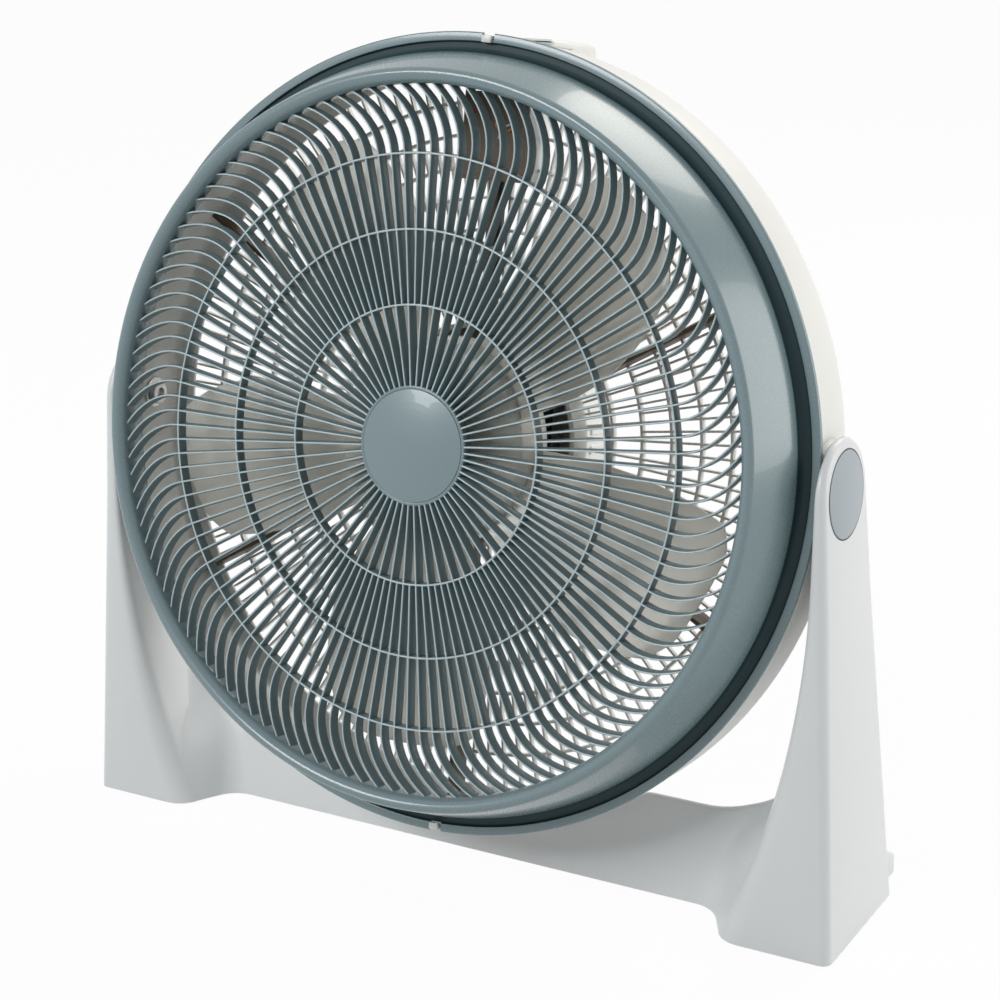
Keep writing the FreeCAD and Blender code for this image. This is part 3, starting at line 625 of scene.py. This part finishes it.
def makeMotorCover():
    kit = motorCover
    outer, back, mouth, wall = kit["radius"], kit["back"], kit["mouth"], kit["wall"]
    narrow, below = kit["waist"]
    bm = spinRing([
        (kit["centre"], back, 0), (outer, back, kit["ease"]), (outer - narrow, mouth - below, 0),
        (outer, mouth, kit["lipEase"]), (outer - wall, mouth, kit["lipEase"]),
        (outer - wall, back + wall, kit["innerEase"]), (kit["centre"], back + wall, 0),
    ], kit["steps"], kit["rounds"])
    depth, below = kit["slotBand"]
    sunk = []
    for face in bm.faces:
        middle = face.calc_center_median()
        angle = math.degrees(math.atan2(middle.y, middle.x)) % 360
        onSide = math.hypot(middle.x, middle.y) > outer - depth and back + kit["ease"] < middle.z < mouth - below
        if onSide and int(angle / kit["slotPitch"]) % 2:
            sunk.append(face)
    bmesh.ops.inset_individual(bm, faces=sunk, thickness=kit["slotRim"], depth=-kit["slotDepth"])
    makePiece("motorCover", bm, "paleHousing", "head", "motor_cover")


# impeller: five cambered blades on a round-nosed hub
wheel = {
    "blades": 5, "angle": 47.0, "root": 69.0, "middle": 142.0, "tip": 214.0, "lower": (-27.0, -22.0, -8.5),
    "upper": (27.0, 22.0, 15.5), "mid": 25.0, "rise": 16.0, "camber": 4.0, "half": 53.2, "thick": 2.2, "corner": 9.0,
    "cornerStart": 0.6, "grid": (16, 14), "ease": 0.6, "rimAngle": 1.0, "hubSteps": 96,
    "hub": [
        (9.0, 44.6, 0), (54.0, 45.0, 6.0), (70.0, 41.8, 4.0), (70.0, 6.0, 0.6), (67.4, 6.0, 0.6), (67.4, 39.6, 2.0),
        (10.0, 39.8, 0.5), (10.0, 13.0, 0.3), (4.2, 13.0, 0.3), (4.2, 44.6, 0.3),
    ],
}


def edgeAngle(kit, angles, radius):
    # smooth edge through its root, middle and tip angles
    a, b, c = kit["root"], kit["middle"], kit["tip"]
    first = angles[0] * (radius - b) * (radius - c) / ((a - b) * (a - c))
    second = angles[1] * (radius - a) * (radius - c) / ((b - a) * (b - c))
    third = angles[2] * (radius - a) * (radius - b) / ((c - a) * (c - b))
    return first + second + third


def makeImpeller():
    kit = wheel
    bm = bmesh.new()
    bmesh.ops.create_grid(bm, x_segments=kit["grid"][0], y_segments=kit["grid"][1], size=1.0)
    for point in bm.verts:
        across, along = point.co.x, (point.co.y + 1) / 2
        edge = max(0.0, (abs(across) - kit["cornerStart"]) / (1 - kit["cornerStart"]))
        top = kit["tip"] - kit["corner"] * edge * edge
        radius = kit["root"] + along * (top - kit["root"])
        low, high = (edgeAngle(kit, kit[side], radius) for side in ("lower", "upper"))
        flat = polar(radius, (low + high) / 2 + across * (high - low) / 2)
        t = flat.y / kit["half"]
        point.co = (flat.x, flat.y, kit["mid"] - kit["rise"] * t + kit["camber"] * (1 - t * t) - kit["thick"] / 2)
    bmesh.ops.solidify(bm, geom=bm.faces[:], thickness=-kit["thick"])
    rims = [e for e in bm.edges if len(e.link_faces) == 2 and e.calc_face_angle() > kit["rimAngle"]]
    easeEdges(bm, rims, kit["ease"], 2)
    turnAll(bm, kit["angle"])
    repeatRound(bm, [360 / kit["blades"] * k for k in range(1, kit["blades"])])
    joinInto(bm, spinRing(kit["hub"], kit["hubSteps"]))
    makePiece("impellerWheel", bm, "warmBlade", "impeller", "impeller")


# stand: two hollow legs with eased edges, a crossbar that runs into them, heels and pad floors
legs = {
    "sole": 2.0, "pivot": 306.0, "topRadius": 36.0, "front": 54.0, "back": 64.0, "outer": 298.0, "splay": 18.0,
    "inner": 272.3, "foot": 212.0, "knee": 262.0, "rows": 26, "arcRows": 12, "easeRows": 5, "outerEase": 7.0,
    "outerShare": 0.58, "innerEase": 18.0, "innerShare": 0.28, "innerPower": 1.3, "topEase": 2.2, "wall": 4.0,
    "cavity": (40.0, 80.0, 125.0, 165.0, 205.0), "sharp": 50,
}
crossbar = {
    "front": 15.0, "back": 46.0, "height": 66.0, "sweep": 277.3, "lean": 18.4, "backLean": 0.25, "blend": 85.0,
    "blendStart": 182.0, "blendTurn": 58.0, "ease": 2.5, "easeShare": 0.4, "easeHold": 0.3, "wall": 3.2, "ledge": 2.0,
    "fall": 31.0, "middle": 150.0, "pitch": 6.0, "shoulder": (155.0, 160.0, 165.0, 170.0, 175.0, 180.0),
    "corner": 24.0, "turn": 60.0, "before": 5, "curls": 6, "runs": 5, "upperCorner": 27.0, "change": (38.0, 70.0),
    "inside": (0.4, 1.5), "sink": 3.5, "wallRows": 6, "easeRows": 4, "topRows": 12, "backRows": 3, "settle": 20,
}
heel = {"low": (282.0, 56.0, 8.0), "high": (293.0, 80.0, 34.0), "slope": 11.0, "ease": 1.6}
padFloors = {"x": (221.0, 291.0), "y": (-38.0, 48.0), "half": 8.0, "low": 2.2, "high": 5.0}


def outerAt(z):
    return legs["outer"] - legs["splay"] * z / legs["pivot"]


def innerAt(z):
    step, knee = legs["inner"] - legs["foot"], legs["knee"]
    curve = (knee * knee + step * step) / (2 * step)
    down = max(0.0, knee - z)
    return legs["inner"] - curve + math.sqrt(curve * curve - down * down)


def innerEase(z):
    # the rounding of a leg's inner edges grows towards the floor
    share = max(0.0, 1 - z / legs["knee"])
    grown = legs["topEase"] + legs["innerEase"] * share ** legs["innerPower"]
    return min(legs["innerShare"] * (outerAt(z) - innerAt(z)), grown)


def touchPoint(run):
    # a side edge from the floor to where it touches the rounded top: its length and its lean
    far = math.hypot(run, legs["pivot"])
    length = math.sqrt(far * far - legs["topRadius"] ** 2)
    lean = math.atan2(run, legs["pivot"]) - math.asin(legs["topRadius"] / far)
    return length, lean


def sideAt(side, z):
    # y of a leg's front (-1) or back (1) edge at a height
    run = legs["front"] if side < 0 else legs["back"]
    return side * (run - z * math.tan(touchPoint(run)[1]))


def legRows():
    # side outline of a leg: (y, z, inward y, inward z) up the front, over the top, down the back
    kit = legs
    lines, leans = [], []
    for side, run in ((-1, kit["front"]), (1, kit["back"])):
        length, lean = touchPoint(run)
        line = []
        for k in range(kit["rows"]):
            z = max(kit["sole"], length * k / kit["rows"] * math.cos(lean))
            level = 0.0 if k == 0 else -math.sin(lean)
            line.append((side * (run - z * math.tan(lean)), z, -side * math.cos(lean), level))
        lines.append(line)
        leans.append(lean)
    over = []
    start, stop = math.pi - leans[0], leans[1]
    for k in range(2 * kit["arcRows"] + 1):
        turn = start + (stop - start) * k / (2 * kit["arcRows"])
        y, z = math.cos(turn), math.sin(turn)
        over.append((kit["topRadius"] * y, kit["pivot"] + kit["topRadius"] * z, -y, -z))
    return lines[0] + over + lines[1][::-1]


def makeLeg():
    kit = legs
    rows = legRows()
    bm = bmesh.new()
    count = len(rows)

    def place(row, inner, turn):
        y, z, dy, dz = row
        ease = innerEase(z) if inner else min(kit["outerShare"] * (outerAt(z) - innerAt(z)), kit["outerEase"])
        inset, off = ease * (1 - math.sin(turn)), ease * (1 - math.cos(turn))
        y, z = y + dy * inset, z + dz * inset
        return Vector((innerAt(z) + off if inner else outerAt(z) - off, y, z))

    turns = [math.radians(90 * k / kit["easeRows"]) for k in range(kit["easeRows"] + 1)]
    stations = [(True, t) for t in turns] + [(False, t) for t in turns[::-1]]
    loop = [bm.verts.new(place(row, *stations[0])) for row in rows]
    wire = [bm.edges.new((a, b)) for a, b in zip(loop, loop[1:])]
    innerLoop = loop
    for station in stations[1:]:
        order = {}
        for vert in vertsOf(bmesh.ops.extrude_edge_only(bm, edges=wire)["geom"]):
            for edge in vert.link_edges:
                other = edge.other_vert(vert)
                if other in loop:
                    order[loop.index(other)] = vert
        loop = [order[k] for k in range(count)]
        for vert, row in zip(loop, rows):
            vert.co = place(row, *station)
        wire = [bm.edges.get((a, b)) for a, b in zip(loop, loop[1:])]
    for face in (innerLoop, loop):
        for k in range(count // 2 - 1):
            bm.faces.new((face[k], face[k + 1], face[count - 2 - k], face[count - 1 - k]))
        k = count // 2 - 1
        bm.faces.new((face[k], face[k + 1], face[k + 2]))
    bmesh.ops.recalc_face_normals(bm, faces=bm.faces[:])
    # the hollow, open at the sole
    rim = [e for e in bm.edges if e.is_boundary]
    sole = bmesh.ops.contextual_create(bm, geom=rim)["faces"]
    bmesh.ops.recalc_face_normals(bm, faces=bm.faces[:])
    bmesh.ops.inset_region(bm, faces=sole, thickness=kit["wall"], use_even_offset=True)

    def hollowAt(z):
        x = innerAt(z) + kit["wall"], outerAt(z) - kit["wall"]
        return x, [sideAt(side, z) - side * kit["wall"] for side in (-1, 1)]

    low = kit["sole"]
    for height in kit["cavity"]:
        grown = bmesh.ops.extrude_face_region(bm, geom=sole)["geom"]
        bmesh.ops.delete(bm, geom=sole, context="FACES_KEEP_BOUNDARY")
        sole = facesOf(grown)
        (wasIn, wasOut), (wasFront, wasBack) = hollowAt(low)
        (nowIn, nowOut), (nowFront, nowBack) = hollowAt(height)
        for vert in vertsOf(grown):
            share = (vert.co.x - wasIn) / (wasOut - wasIn)
            along = (vert.co.y - wasFront) / (wasBack - wasFront)
            vert.co = (nowIn + share * (nowOut - nowIn), nowFront + along * (nowBack - nowFront), height)
        low = height
    return bm


def barTop(x):
    # the crossbar's upper edge: a bowl round the head between two flats that sweep up to the legs
    kit = crossbar
    x = abs(x)
    bowl = legs["pivot"] - math.sqrt(max(0.0, kit["sweep"] ** 2 - x * x)) if x < kit["sweep"] else kit["height"]
    if x <= kit["blendStart"]:
        return min(kit["height"], bowl)
    run = min(x - kit["blendStart"], kit["blend"] * math.sin(math.radians(kit["blendTurn"])))
    return kit["height"] + kit["blend"] - math.sqrt(kit["blend"] ** 2 - run * run)


def barFront(z):
    return -crossbar["front"] + z * math.tan(math.radians(crossbar["lean"]))


def barBack(z):
    return crossbar["back"] - (barFront(z) + crossbar["front"]) * crossbar["backLean"]


def barAcross(column, z):
    # x of a column at a height, how far it swings forward to the leg, and its turn
    kit = crossbar
    side, step = column
    if not side:
        return step, 0.0, 0.0
    if step < 0:
        x = barAcross((side, 0), z)[0]
        return x + (side * kit["shoulder"][-1] - x) * -step / kit["before"], 0.0, 0.0
    # low down a curl and a straight run to the leg's rounding
    full, corner, inside = math.radians(kit["turn"]), kit["corner"], kit["inside"]
    ease = innerEase(z)
    endX = innerAt(z) + ease * (1 - math.sin(full)) + inside[0] * math.sin(full)
    endY = sideAt(-1, z) + ease * (1 - math.cos(full)) + inside[0] * math.cos(full)
    run = (barFront(z) - endY - corner * (1 - math.cos(full))) / math.sin(full)
    bend = full * min(1.0, step / kit["curls"])
    along = run * max(0.0, (step - kit["curls"]) / kit["runs"])
    lowX = endX + corner * (math.sin(bend) - math.sin(full)) + (along - run) * math.cos(full)
    lowSwing = corner * (1 - math.cos(bend)) + along * math.sin(full)
    # higher up a quarter round to the leg's inner face
    quarter = math.pi / 2 * step / (kit["curls"] + kit["runs"])
    highX = innerAt(z) + inside[1] + kit["upperCorner"] * (math.sin(quarter) - 1)
    highSwing = kit["upperCorner"] * (1 - math.cos(quarter))
    start, stop = kit["change"]
    share = min(1.0, max(0.0, (z - start) / (stop - start)))
    share *= share * (3 - 2 * share)
    x, swing, bend = Vector((lowX, lowSwing, bend)).lerp(Vector((highX, highSwing, quarter)), share)
    return side * x, swing, bend


def makeCrossbar():
    kit = crossbar
    fall, sole = math.radians(kit["fall"]), legs["sole"]
    last, before = kit["curls"] + kit["runs"], kit["before"]
    brow = barFront(kit["height"]) + kit["ledge"]
    flat = [-kit["middle"] + kit["pitch"] * k for k in range(round(2 * kit["middle"] / kit["pitch"]) + 1)]
    columns = [(-1, k) for k in range(last, -before, -1)] + [(0, -x) for x in kit["shoulder"][::-1]]
    columns += [(0, x) for x in flat + list(kit["shoulder"])] + [(1, k) for k in range(1 - before, last + 1)]

    def topAt(column, z, y):
        # the top is level as far as the brow and falls away behind it
        return barTop(barAcross(column, z)[0]) - max(0.0, y - brow) * math.tan(fall)

    def upperEdge(column):
        # height and y where a column's front meets the top
        z = kit["height"]
        for again in range(kit["settle"]):
            z = topAt(column, z, barFront(z) - barAcross(column, z)[1])
        return z, barFront(z) - barAcross(column, z)[1]

    def place(column, station):
        kind, value = station
        side = column[0]
        top, near = upperEdge(column)
        ease = min(kit["ease"], kit["easeShare"] * (top - sole))
        turn = math.radians(value)
        if kind.startswith("front"):
            z, inset = top - ease * (1 - math.sin(turn)), ease * (1 - math.cos(turn))
            if kind == "frontWall":
                z, inset = sole + value * (top - ease - sole), 0.0
            x, swing, bend = barAcross(column, z)
            y = barFront(min(z, top - ease * kit["easeHold"])) - swing
            return Vector((x + side * inset * math.sin(bend), y + inset * math.cos(bend), z))
        low = top
        for again in range(kit["settle"]):
            low = topAt(column, top, barBack(low))
        foot = low - ease * math.tan((math.pi / 2 - fall) / 2)
        far = barBack(foot)
        if kind == "top":
            start, stop = near + ease, far - ease * (1 - math.sin(fall))
            y = start + value * (stop - start)
            z, inset = min(top, topAt(column, top, y)), far - y
        elif kind == "back":
            z, inset = foot + ease * math.sin(turn), ease * (1 - math.cos(turn))
        else:
            z, inset = sole + value * (foot - sole), 0.0
        x = barAcross(column, z)[0] + side * kit["sink"] * max(0.0, column[1] / last)
        return Vector((x, barBack(min(z, foot)) - inset, z))

    shares = [k / kit["wallRows"] for k in range(kit["wallRows"])]
    stations = [("frontWall", share) for share in shares]
    stations += [("front", 90 * k / kit["easeRows"]) for k in range(kit["easeRows"] + 1)]
    stations += [("top", k / kit["topRows"]) for k in range(1, kit["topRows"])]
    stations += [("back", (90 - kit["fall"]) * k / kit["backRows"]) for k in range(kit["backRows"], -1, -1)]
    stations += [("backWall", share) for share in shares[::-1]]
    bm = bmesh.new()
    wide, high = len(columns) - 1, len(stations) - 1
    bmesh.ops.create_grid(bm, x_segments=wide, y_segments=high, size=1.0)
    for vert in bm.verts:
        right, up = (vert.co.x + 1) / 2, (vert.co.y + 1) / 2
        vert.co = place(columns[round(right * wide)], stations[round(up * high)])
    bm.normal_update()
    bmesh.ops.solidify(bm, geom=bm.faces[:], thickness=kit["wall"])
    for vert in bm.verts:
        vert.co.z = max(vert.co.z, sole)
    return bm


def makeStand():
    bm = makeLeg()
    low, high = Vector(heel["low"]), Vector(heel["high"])
    step = roundBox(low, high, 0)
    for vert in step.verts:
        if vert.co.y > (low.y + high.y) / 2 and vert.co.z > (low.z + high.z) / 2:
            vert.co.z -= heel["slope"]
    easeEdges(step, step.edges[:], heel["ease"], 3)
    joinInto(bm, step)
    pad = padFloors
    left, right = pad["x"]
    for y in pad["y"]:
        joinInto(bm, roundBox((left, y - pad["half"], pad["low"]), (right, y + pad["half"], pad["high"]), 0))
    bothSides(bm)
    joinInto(bm, makeCrossbar())
    makePiece("standShell", bm, "paleStand", "stand", "stand", inStand, legs["sharp"])


# pivots: flush grey discs in a dark seam
pivots = {
    "radius": 28.5, "rise": 0.5, "depth": 2.4, "ease": 0.9, "sides": 72, "outer": 280.0, "lean": 0.0588,
    "seamOverlap": 0.4, "seam": 29.3, "seamLow": -1.0, "seamHigh": 0.12,
}


def onUpright(bm):
    # a shape drawn round +z goes to the leaning outer faces of both uprights
    out = Vector((1, 0, pivots["lean"])).normalized()
    turn = Vector((0, 0, 1)).rotation_difference(out).to_matrix()
    bmesh.ops.rotate(bm, verts=bm.verts[:], cent=(0, 0, 0), matrix=turn)
    return bothSides(shift(bm, pivots["outer"], 0, legs["pivot"]))


def makePivots():
    kit = pivots
    disc = onUpright(roundDisc(kit["radius"], -kit["depth"], kit["rise"], kit["ease"], kit["sides"]))
    makePiece("pivotCaps", disc, "pivotGrey", "stand", "pivot_caps", inStand)
    inner, outer, low, high = kit["radius"] - kit["seamOverlap"], kit["seam"], kit["seamLow"], kit["seamHigh"]
    seam = onUpright(spinRing([(inner, low, 0), (outer, low, 0), (outer, high, 0), (inner, high, 0)], kit["sides"]))
    makePiece("pivotSeams", seam, "darkMoulding", "stand", None, inStand)


# bolts and washers inside the drum, round the tilt axis
bolts = {
    "head": 8.0, "headEnd": 256.35, "under": 260.85, "ease": 0.9, "sides": 36, "socket": 3.9, "sink": 2.6,
    "shank": 4.0, "end": 274.6, "overlap": 0.2, "shankEase": 0.6, "shankSides": 24,
}
washers = {
    "radius": 11.0, "bore": 4.05, "low": 260.85, "high": 262.05, "lowEase": 0.35, "highEase": 0.2, "steps": 48,
    "rounds": 2,
}


def onPivot(bm):
    # a shape drawn round +z goes round the tilt axis, on both sides
    turnAll(bm, 90, "Y")
    return bothSides(shift(bm, 0, 0, legs["pivot"]))


def makeBolts():
    kit = bolts
    bm = roundDisc(kit["head"], kit["headEnd"], kit["under"], kit["ease"], kit["sides"])
    top = [f for f in bm.faces if f.normal.z < -0.9 and len(f.verts) > 20]
    bmesh.ops.inset_region(bm, faces=top, thickness=kit["head"] - kit["ease"] - kit["socket"], use_even_offset=True)
    sunk = bmesh.ops.extrude_face_region(bm, geom=top)["geom"]
    bmesh.ops.translate(bm, vec=(0, 0, kit["sink"]), verts=vertsOf(sunk))
    bmesh.ops.delete(bm, geom=top, context="FACES")
    start = kit["under"] - kit["overlap"]
    joinInto(bm, roundDisc(kit["shank"], start, kit["end"], kit["shankEase"], kit["shankSides"]))
    makePiece("pivotBolts", onPivot(bm), "brightSteel", "stand", "pivot_bolts", inStand)
    flat = washers
    ring = spinRing([
        (flat["bore"], flat["low"], 0), (flat["radius"], flat["low"], flat["lowEase"]),
        (flat["radius"], flat["high"], flat["highEase"]), (flat["bore"], flat["high"], 0),
    ], flat["steps"], flat["rounds"])
    makePiece("pivotWashers", onPivot(ring), "brightSteel", "stand", "pivot_washers", inStand)


# speed knob: a fluted skirt with a grip bar and a pale pointer line
knob = {
    "radius": 17.0, "near": -52.4, "far": -66.4, "ease": 1.6, "lobe": (3.8, 15.3), "lobeEase": 1.3, "end": -71.4,
    "middle": 197.5, "flutes": 48, "flute": 0.7, "fluteRim": 0.35, "wallArea": 10.0, "line": (0.6, 6.5, 14.6),
    "lineRise": 0.15, "spindle": 5.0, "spindleEase": 0.2, "spindleSides": 24, "inner": -49.9, "overlap": 0.5,
    "looks": ["knobGrey", "paleHousing"],
}


def makeKnob():
    kit = knob
    overlap = kit["overlap"]
    bm = roundDisc(kit["radius"], kit["far"], kit["near"], kit["ease"], kit["flutes"])
    walls = [f for f in bm.faces if abs(f.normal.z) < 0.1 and f.calc_area() > kit["wallArea"]]
    walls.sort(key=lambda f: math.atan2(f.calc_center_median().y, f.calc_center_median().x))
    bmesh.ops.inset_individual(bm, faces=walls[::2], thickness=kit["fluteRim"], depth=-kit["flute"])
    wide, long = kit["lobe"]
    joinInto(bm, roundBox((-wide, -long, kit["end"]), (wide, long, kit["far"] + overlap), kit["lobeEase"], 3))
    near, inner = kit["near"] - overlap, kit["inner"]
    joinInto(bm, roundDisc(kit["spindle"], near, inner, kit["spindleEase"], kit["spindleSides"]))
    thin, start, stop = kit["line"]
    mark = roundBox((-thin, start, kit["end"] - kit["lineRise"]), (thin, stop, kit["end"] + overlap), 0)
    for face in mark.faces:
        face.material_index = kit["looks"].index("paleHousing")
    joinInto(bm, mark)
    makePiece("speedKnob", shift(bm, 0, kit["middle"], 0), kit["looks"], "speed_knob", "speed_knob")


# carry handle: the CAD bow with its edges eased, in metres
handle = {"ease": 0.0014, "corner": 32.0, "flat": 1.0, "merge": 1e-5}


def makeHandle():
    kit = handle
    bm = bmesh.new()
    bm.from_mesh(nodes["carry_handle"].data)
    bm.transform(nodes["carry_handle"].matrix_world)
    bmesh.ops.remove_doubles(bm, verts=bm.verts[:], dist=kit["merge"])
    bmesh.ops.dissolve_limit(
        bm, angle_limit=math.radians(kit["flat"]), verts=bm.verts[:], edges=bm.edges[:], use_dissolve_boundaries=False,
    )
    corners = [
        e for e in bm.edges
        if len(e.link_faces) == 2 and e.is_convex and e.calc_face_angle() > math.radians(kit["corner"])
    ]
    easeEdges(bm, corners, kit["ease"], 3, clamp_overlap=True)
    makePiece("carryHandle", bm, "paleHousing", "head", "carry_handle", Matrix.Identity(4))


for build in (
    makeFrontGrille, makeGrilleRings, makeBadge, makeRearHousing, makeGuardRings, makeWires, makeMotorCover,
    makeImpeller, makeStand, makePivots, makeBolts, makeKnob, makeHandle,
):
    build()
print("pieces modelled")


# floor and light
studio = {
    "floorSize": 30.0, "floorTint": (0.78, 0.78, 0.78, 1), "floorRough": 0.9, "floorGlow": 0.96, "sky": 0.29,
    "white": (1, 1, 1, 1), "aim": (0, 0, 0.28),
}
lamps = {
    "key": {"place": (2.4, 1.0, 0.8), "size": 2.2, "power": 42, "tint": (1.0, 1.0, 0.99)},
    "fill": {"place": (-1.3, -2.6, 2.0), "size": 1.4, "power": 62, "tint": (0.98, 0.99, 1.0)},
    "rim": {"place": (0.42, 1.95, 2.2), "size": 1.6, "power": 36, "tint": (1.0, 0.96, 0.89)},
}


def seenDirectly(look):
    # one for the camera's own rays and for a gloss, else nought
    camera, gloss = (look.node("ShaderNodeLightPath", {}, {}, ray) for ray in ("Is Camera Ray", "Is Glossy Ray"))
    return camera + gloss


def makeFloor():
    mesh = bpy.data.meshes.new("floor")
    bm = bmesh.new()
    bmesh.ops.create_grid(bm, x_segments=1, y_segments=1, size=studio["floorSize"] / 2)
    bm.to_mesh(mesh)
    bm.free()
    floor = bpy.data.objects.new("floor", mesh)
    bpy.context.scene.collection.objects.link(floor)
    look = Look("paperFloor")
    mesh.materials.append(look.set(Base_Color=studio["floorTint"], Roughness=studio["floorRough"]))
    paper = Wire(look, look.shader.outputs[0])
    glow = look.node("ShaderNodeEmission", {}, {"Color": studio["white"], "Strength": 1.0})
    share = seenDirectly(look) * studio["floorGlow"]
    blend = look.node("ShaderNodeMixShader", {}, {0: share, 1: paper, 2: glow})
    look.feed(look.tree.nodes["Material Output"].inputs["Surface"], blend)


def makeLamp(name):
    kit = lamps[name]
    data = bpy.data.lights.new(name, "AREA")
    data.shape = "DISK"
    data.size = kit["size"]
    data.energy = kit["power"]
    data.color = kit["tint"]
    lamp = bpy.data.objects.new(name, data)
    lamp.location = kit["place"]
    aim = Vector(studio["aim"]) - lamp.location
    lamp.rotation_euler = aim.to_track_quat("-Z", "Y").to_euler()
    bpy.context.scene.collection.objects.link(lamp)


def makeWorld():
    # a dim sky that looks white to the camera and in a gloss
    sky = Look("studioSky", bpy.data.worlds, "Background")
    strength = seenDirectly(sky) * (1 - studio["sky"]) + studio["sky"]
    bpy.context.scene.world = sky.set(Color=studio["white"], Strength=strength)


# the photograph's own view: a long lens, a little turned about its axis
viewpoint = {
    "place": (0.7759, -1.2978, 0.7673), "aim": (0.0356, -0.0064, 0.2692), "roll": -1.13, "lens": 83.34,
    "sensor": 36.0, "reach": 60,
}


def makeCamera():
    kit = viewpoint
    data = bpy.data.cameras.new("photoView")
    data.lens = kit["lens"]
    data.sensor_width = kit["sensor"]
    data.clip_end = kit["reach"]
    camera = bpy.data.objects.new("photoView", data)
    place = Vector(kit["place"])
    ahead = (Vector(kit["aim"]) - place).normalized()
    right = ahead.cross(Vector((0, 0, 1))).normalized()
    up = right.cross(ahead)
    turn = math.radians(kit["roll"])
    side = right * math.cos(turn) + up * math.sin(turn)
    top = up * math.cos(turn) - right * math.sin(turn)
    basis = Matrix((side, top, -ahead)).transposed().to_4x4()
    camera.matrix_world = Matrix.Translation(place) @ basis
    bpy.context.scene.collection.objects.link(camera)
    bpy.context.scene.camera = camera


makeFloor()
makeWorld()
for lampName in lamps:
    makeLamp(lampName)
makeCamera()
bpy.context.scene.view_settings.view_transform = "Standard"
print("studio ready")
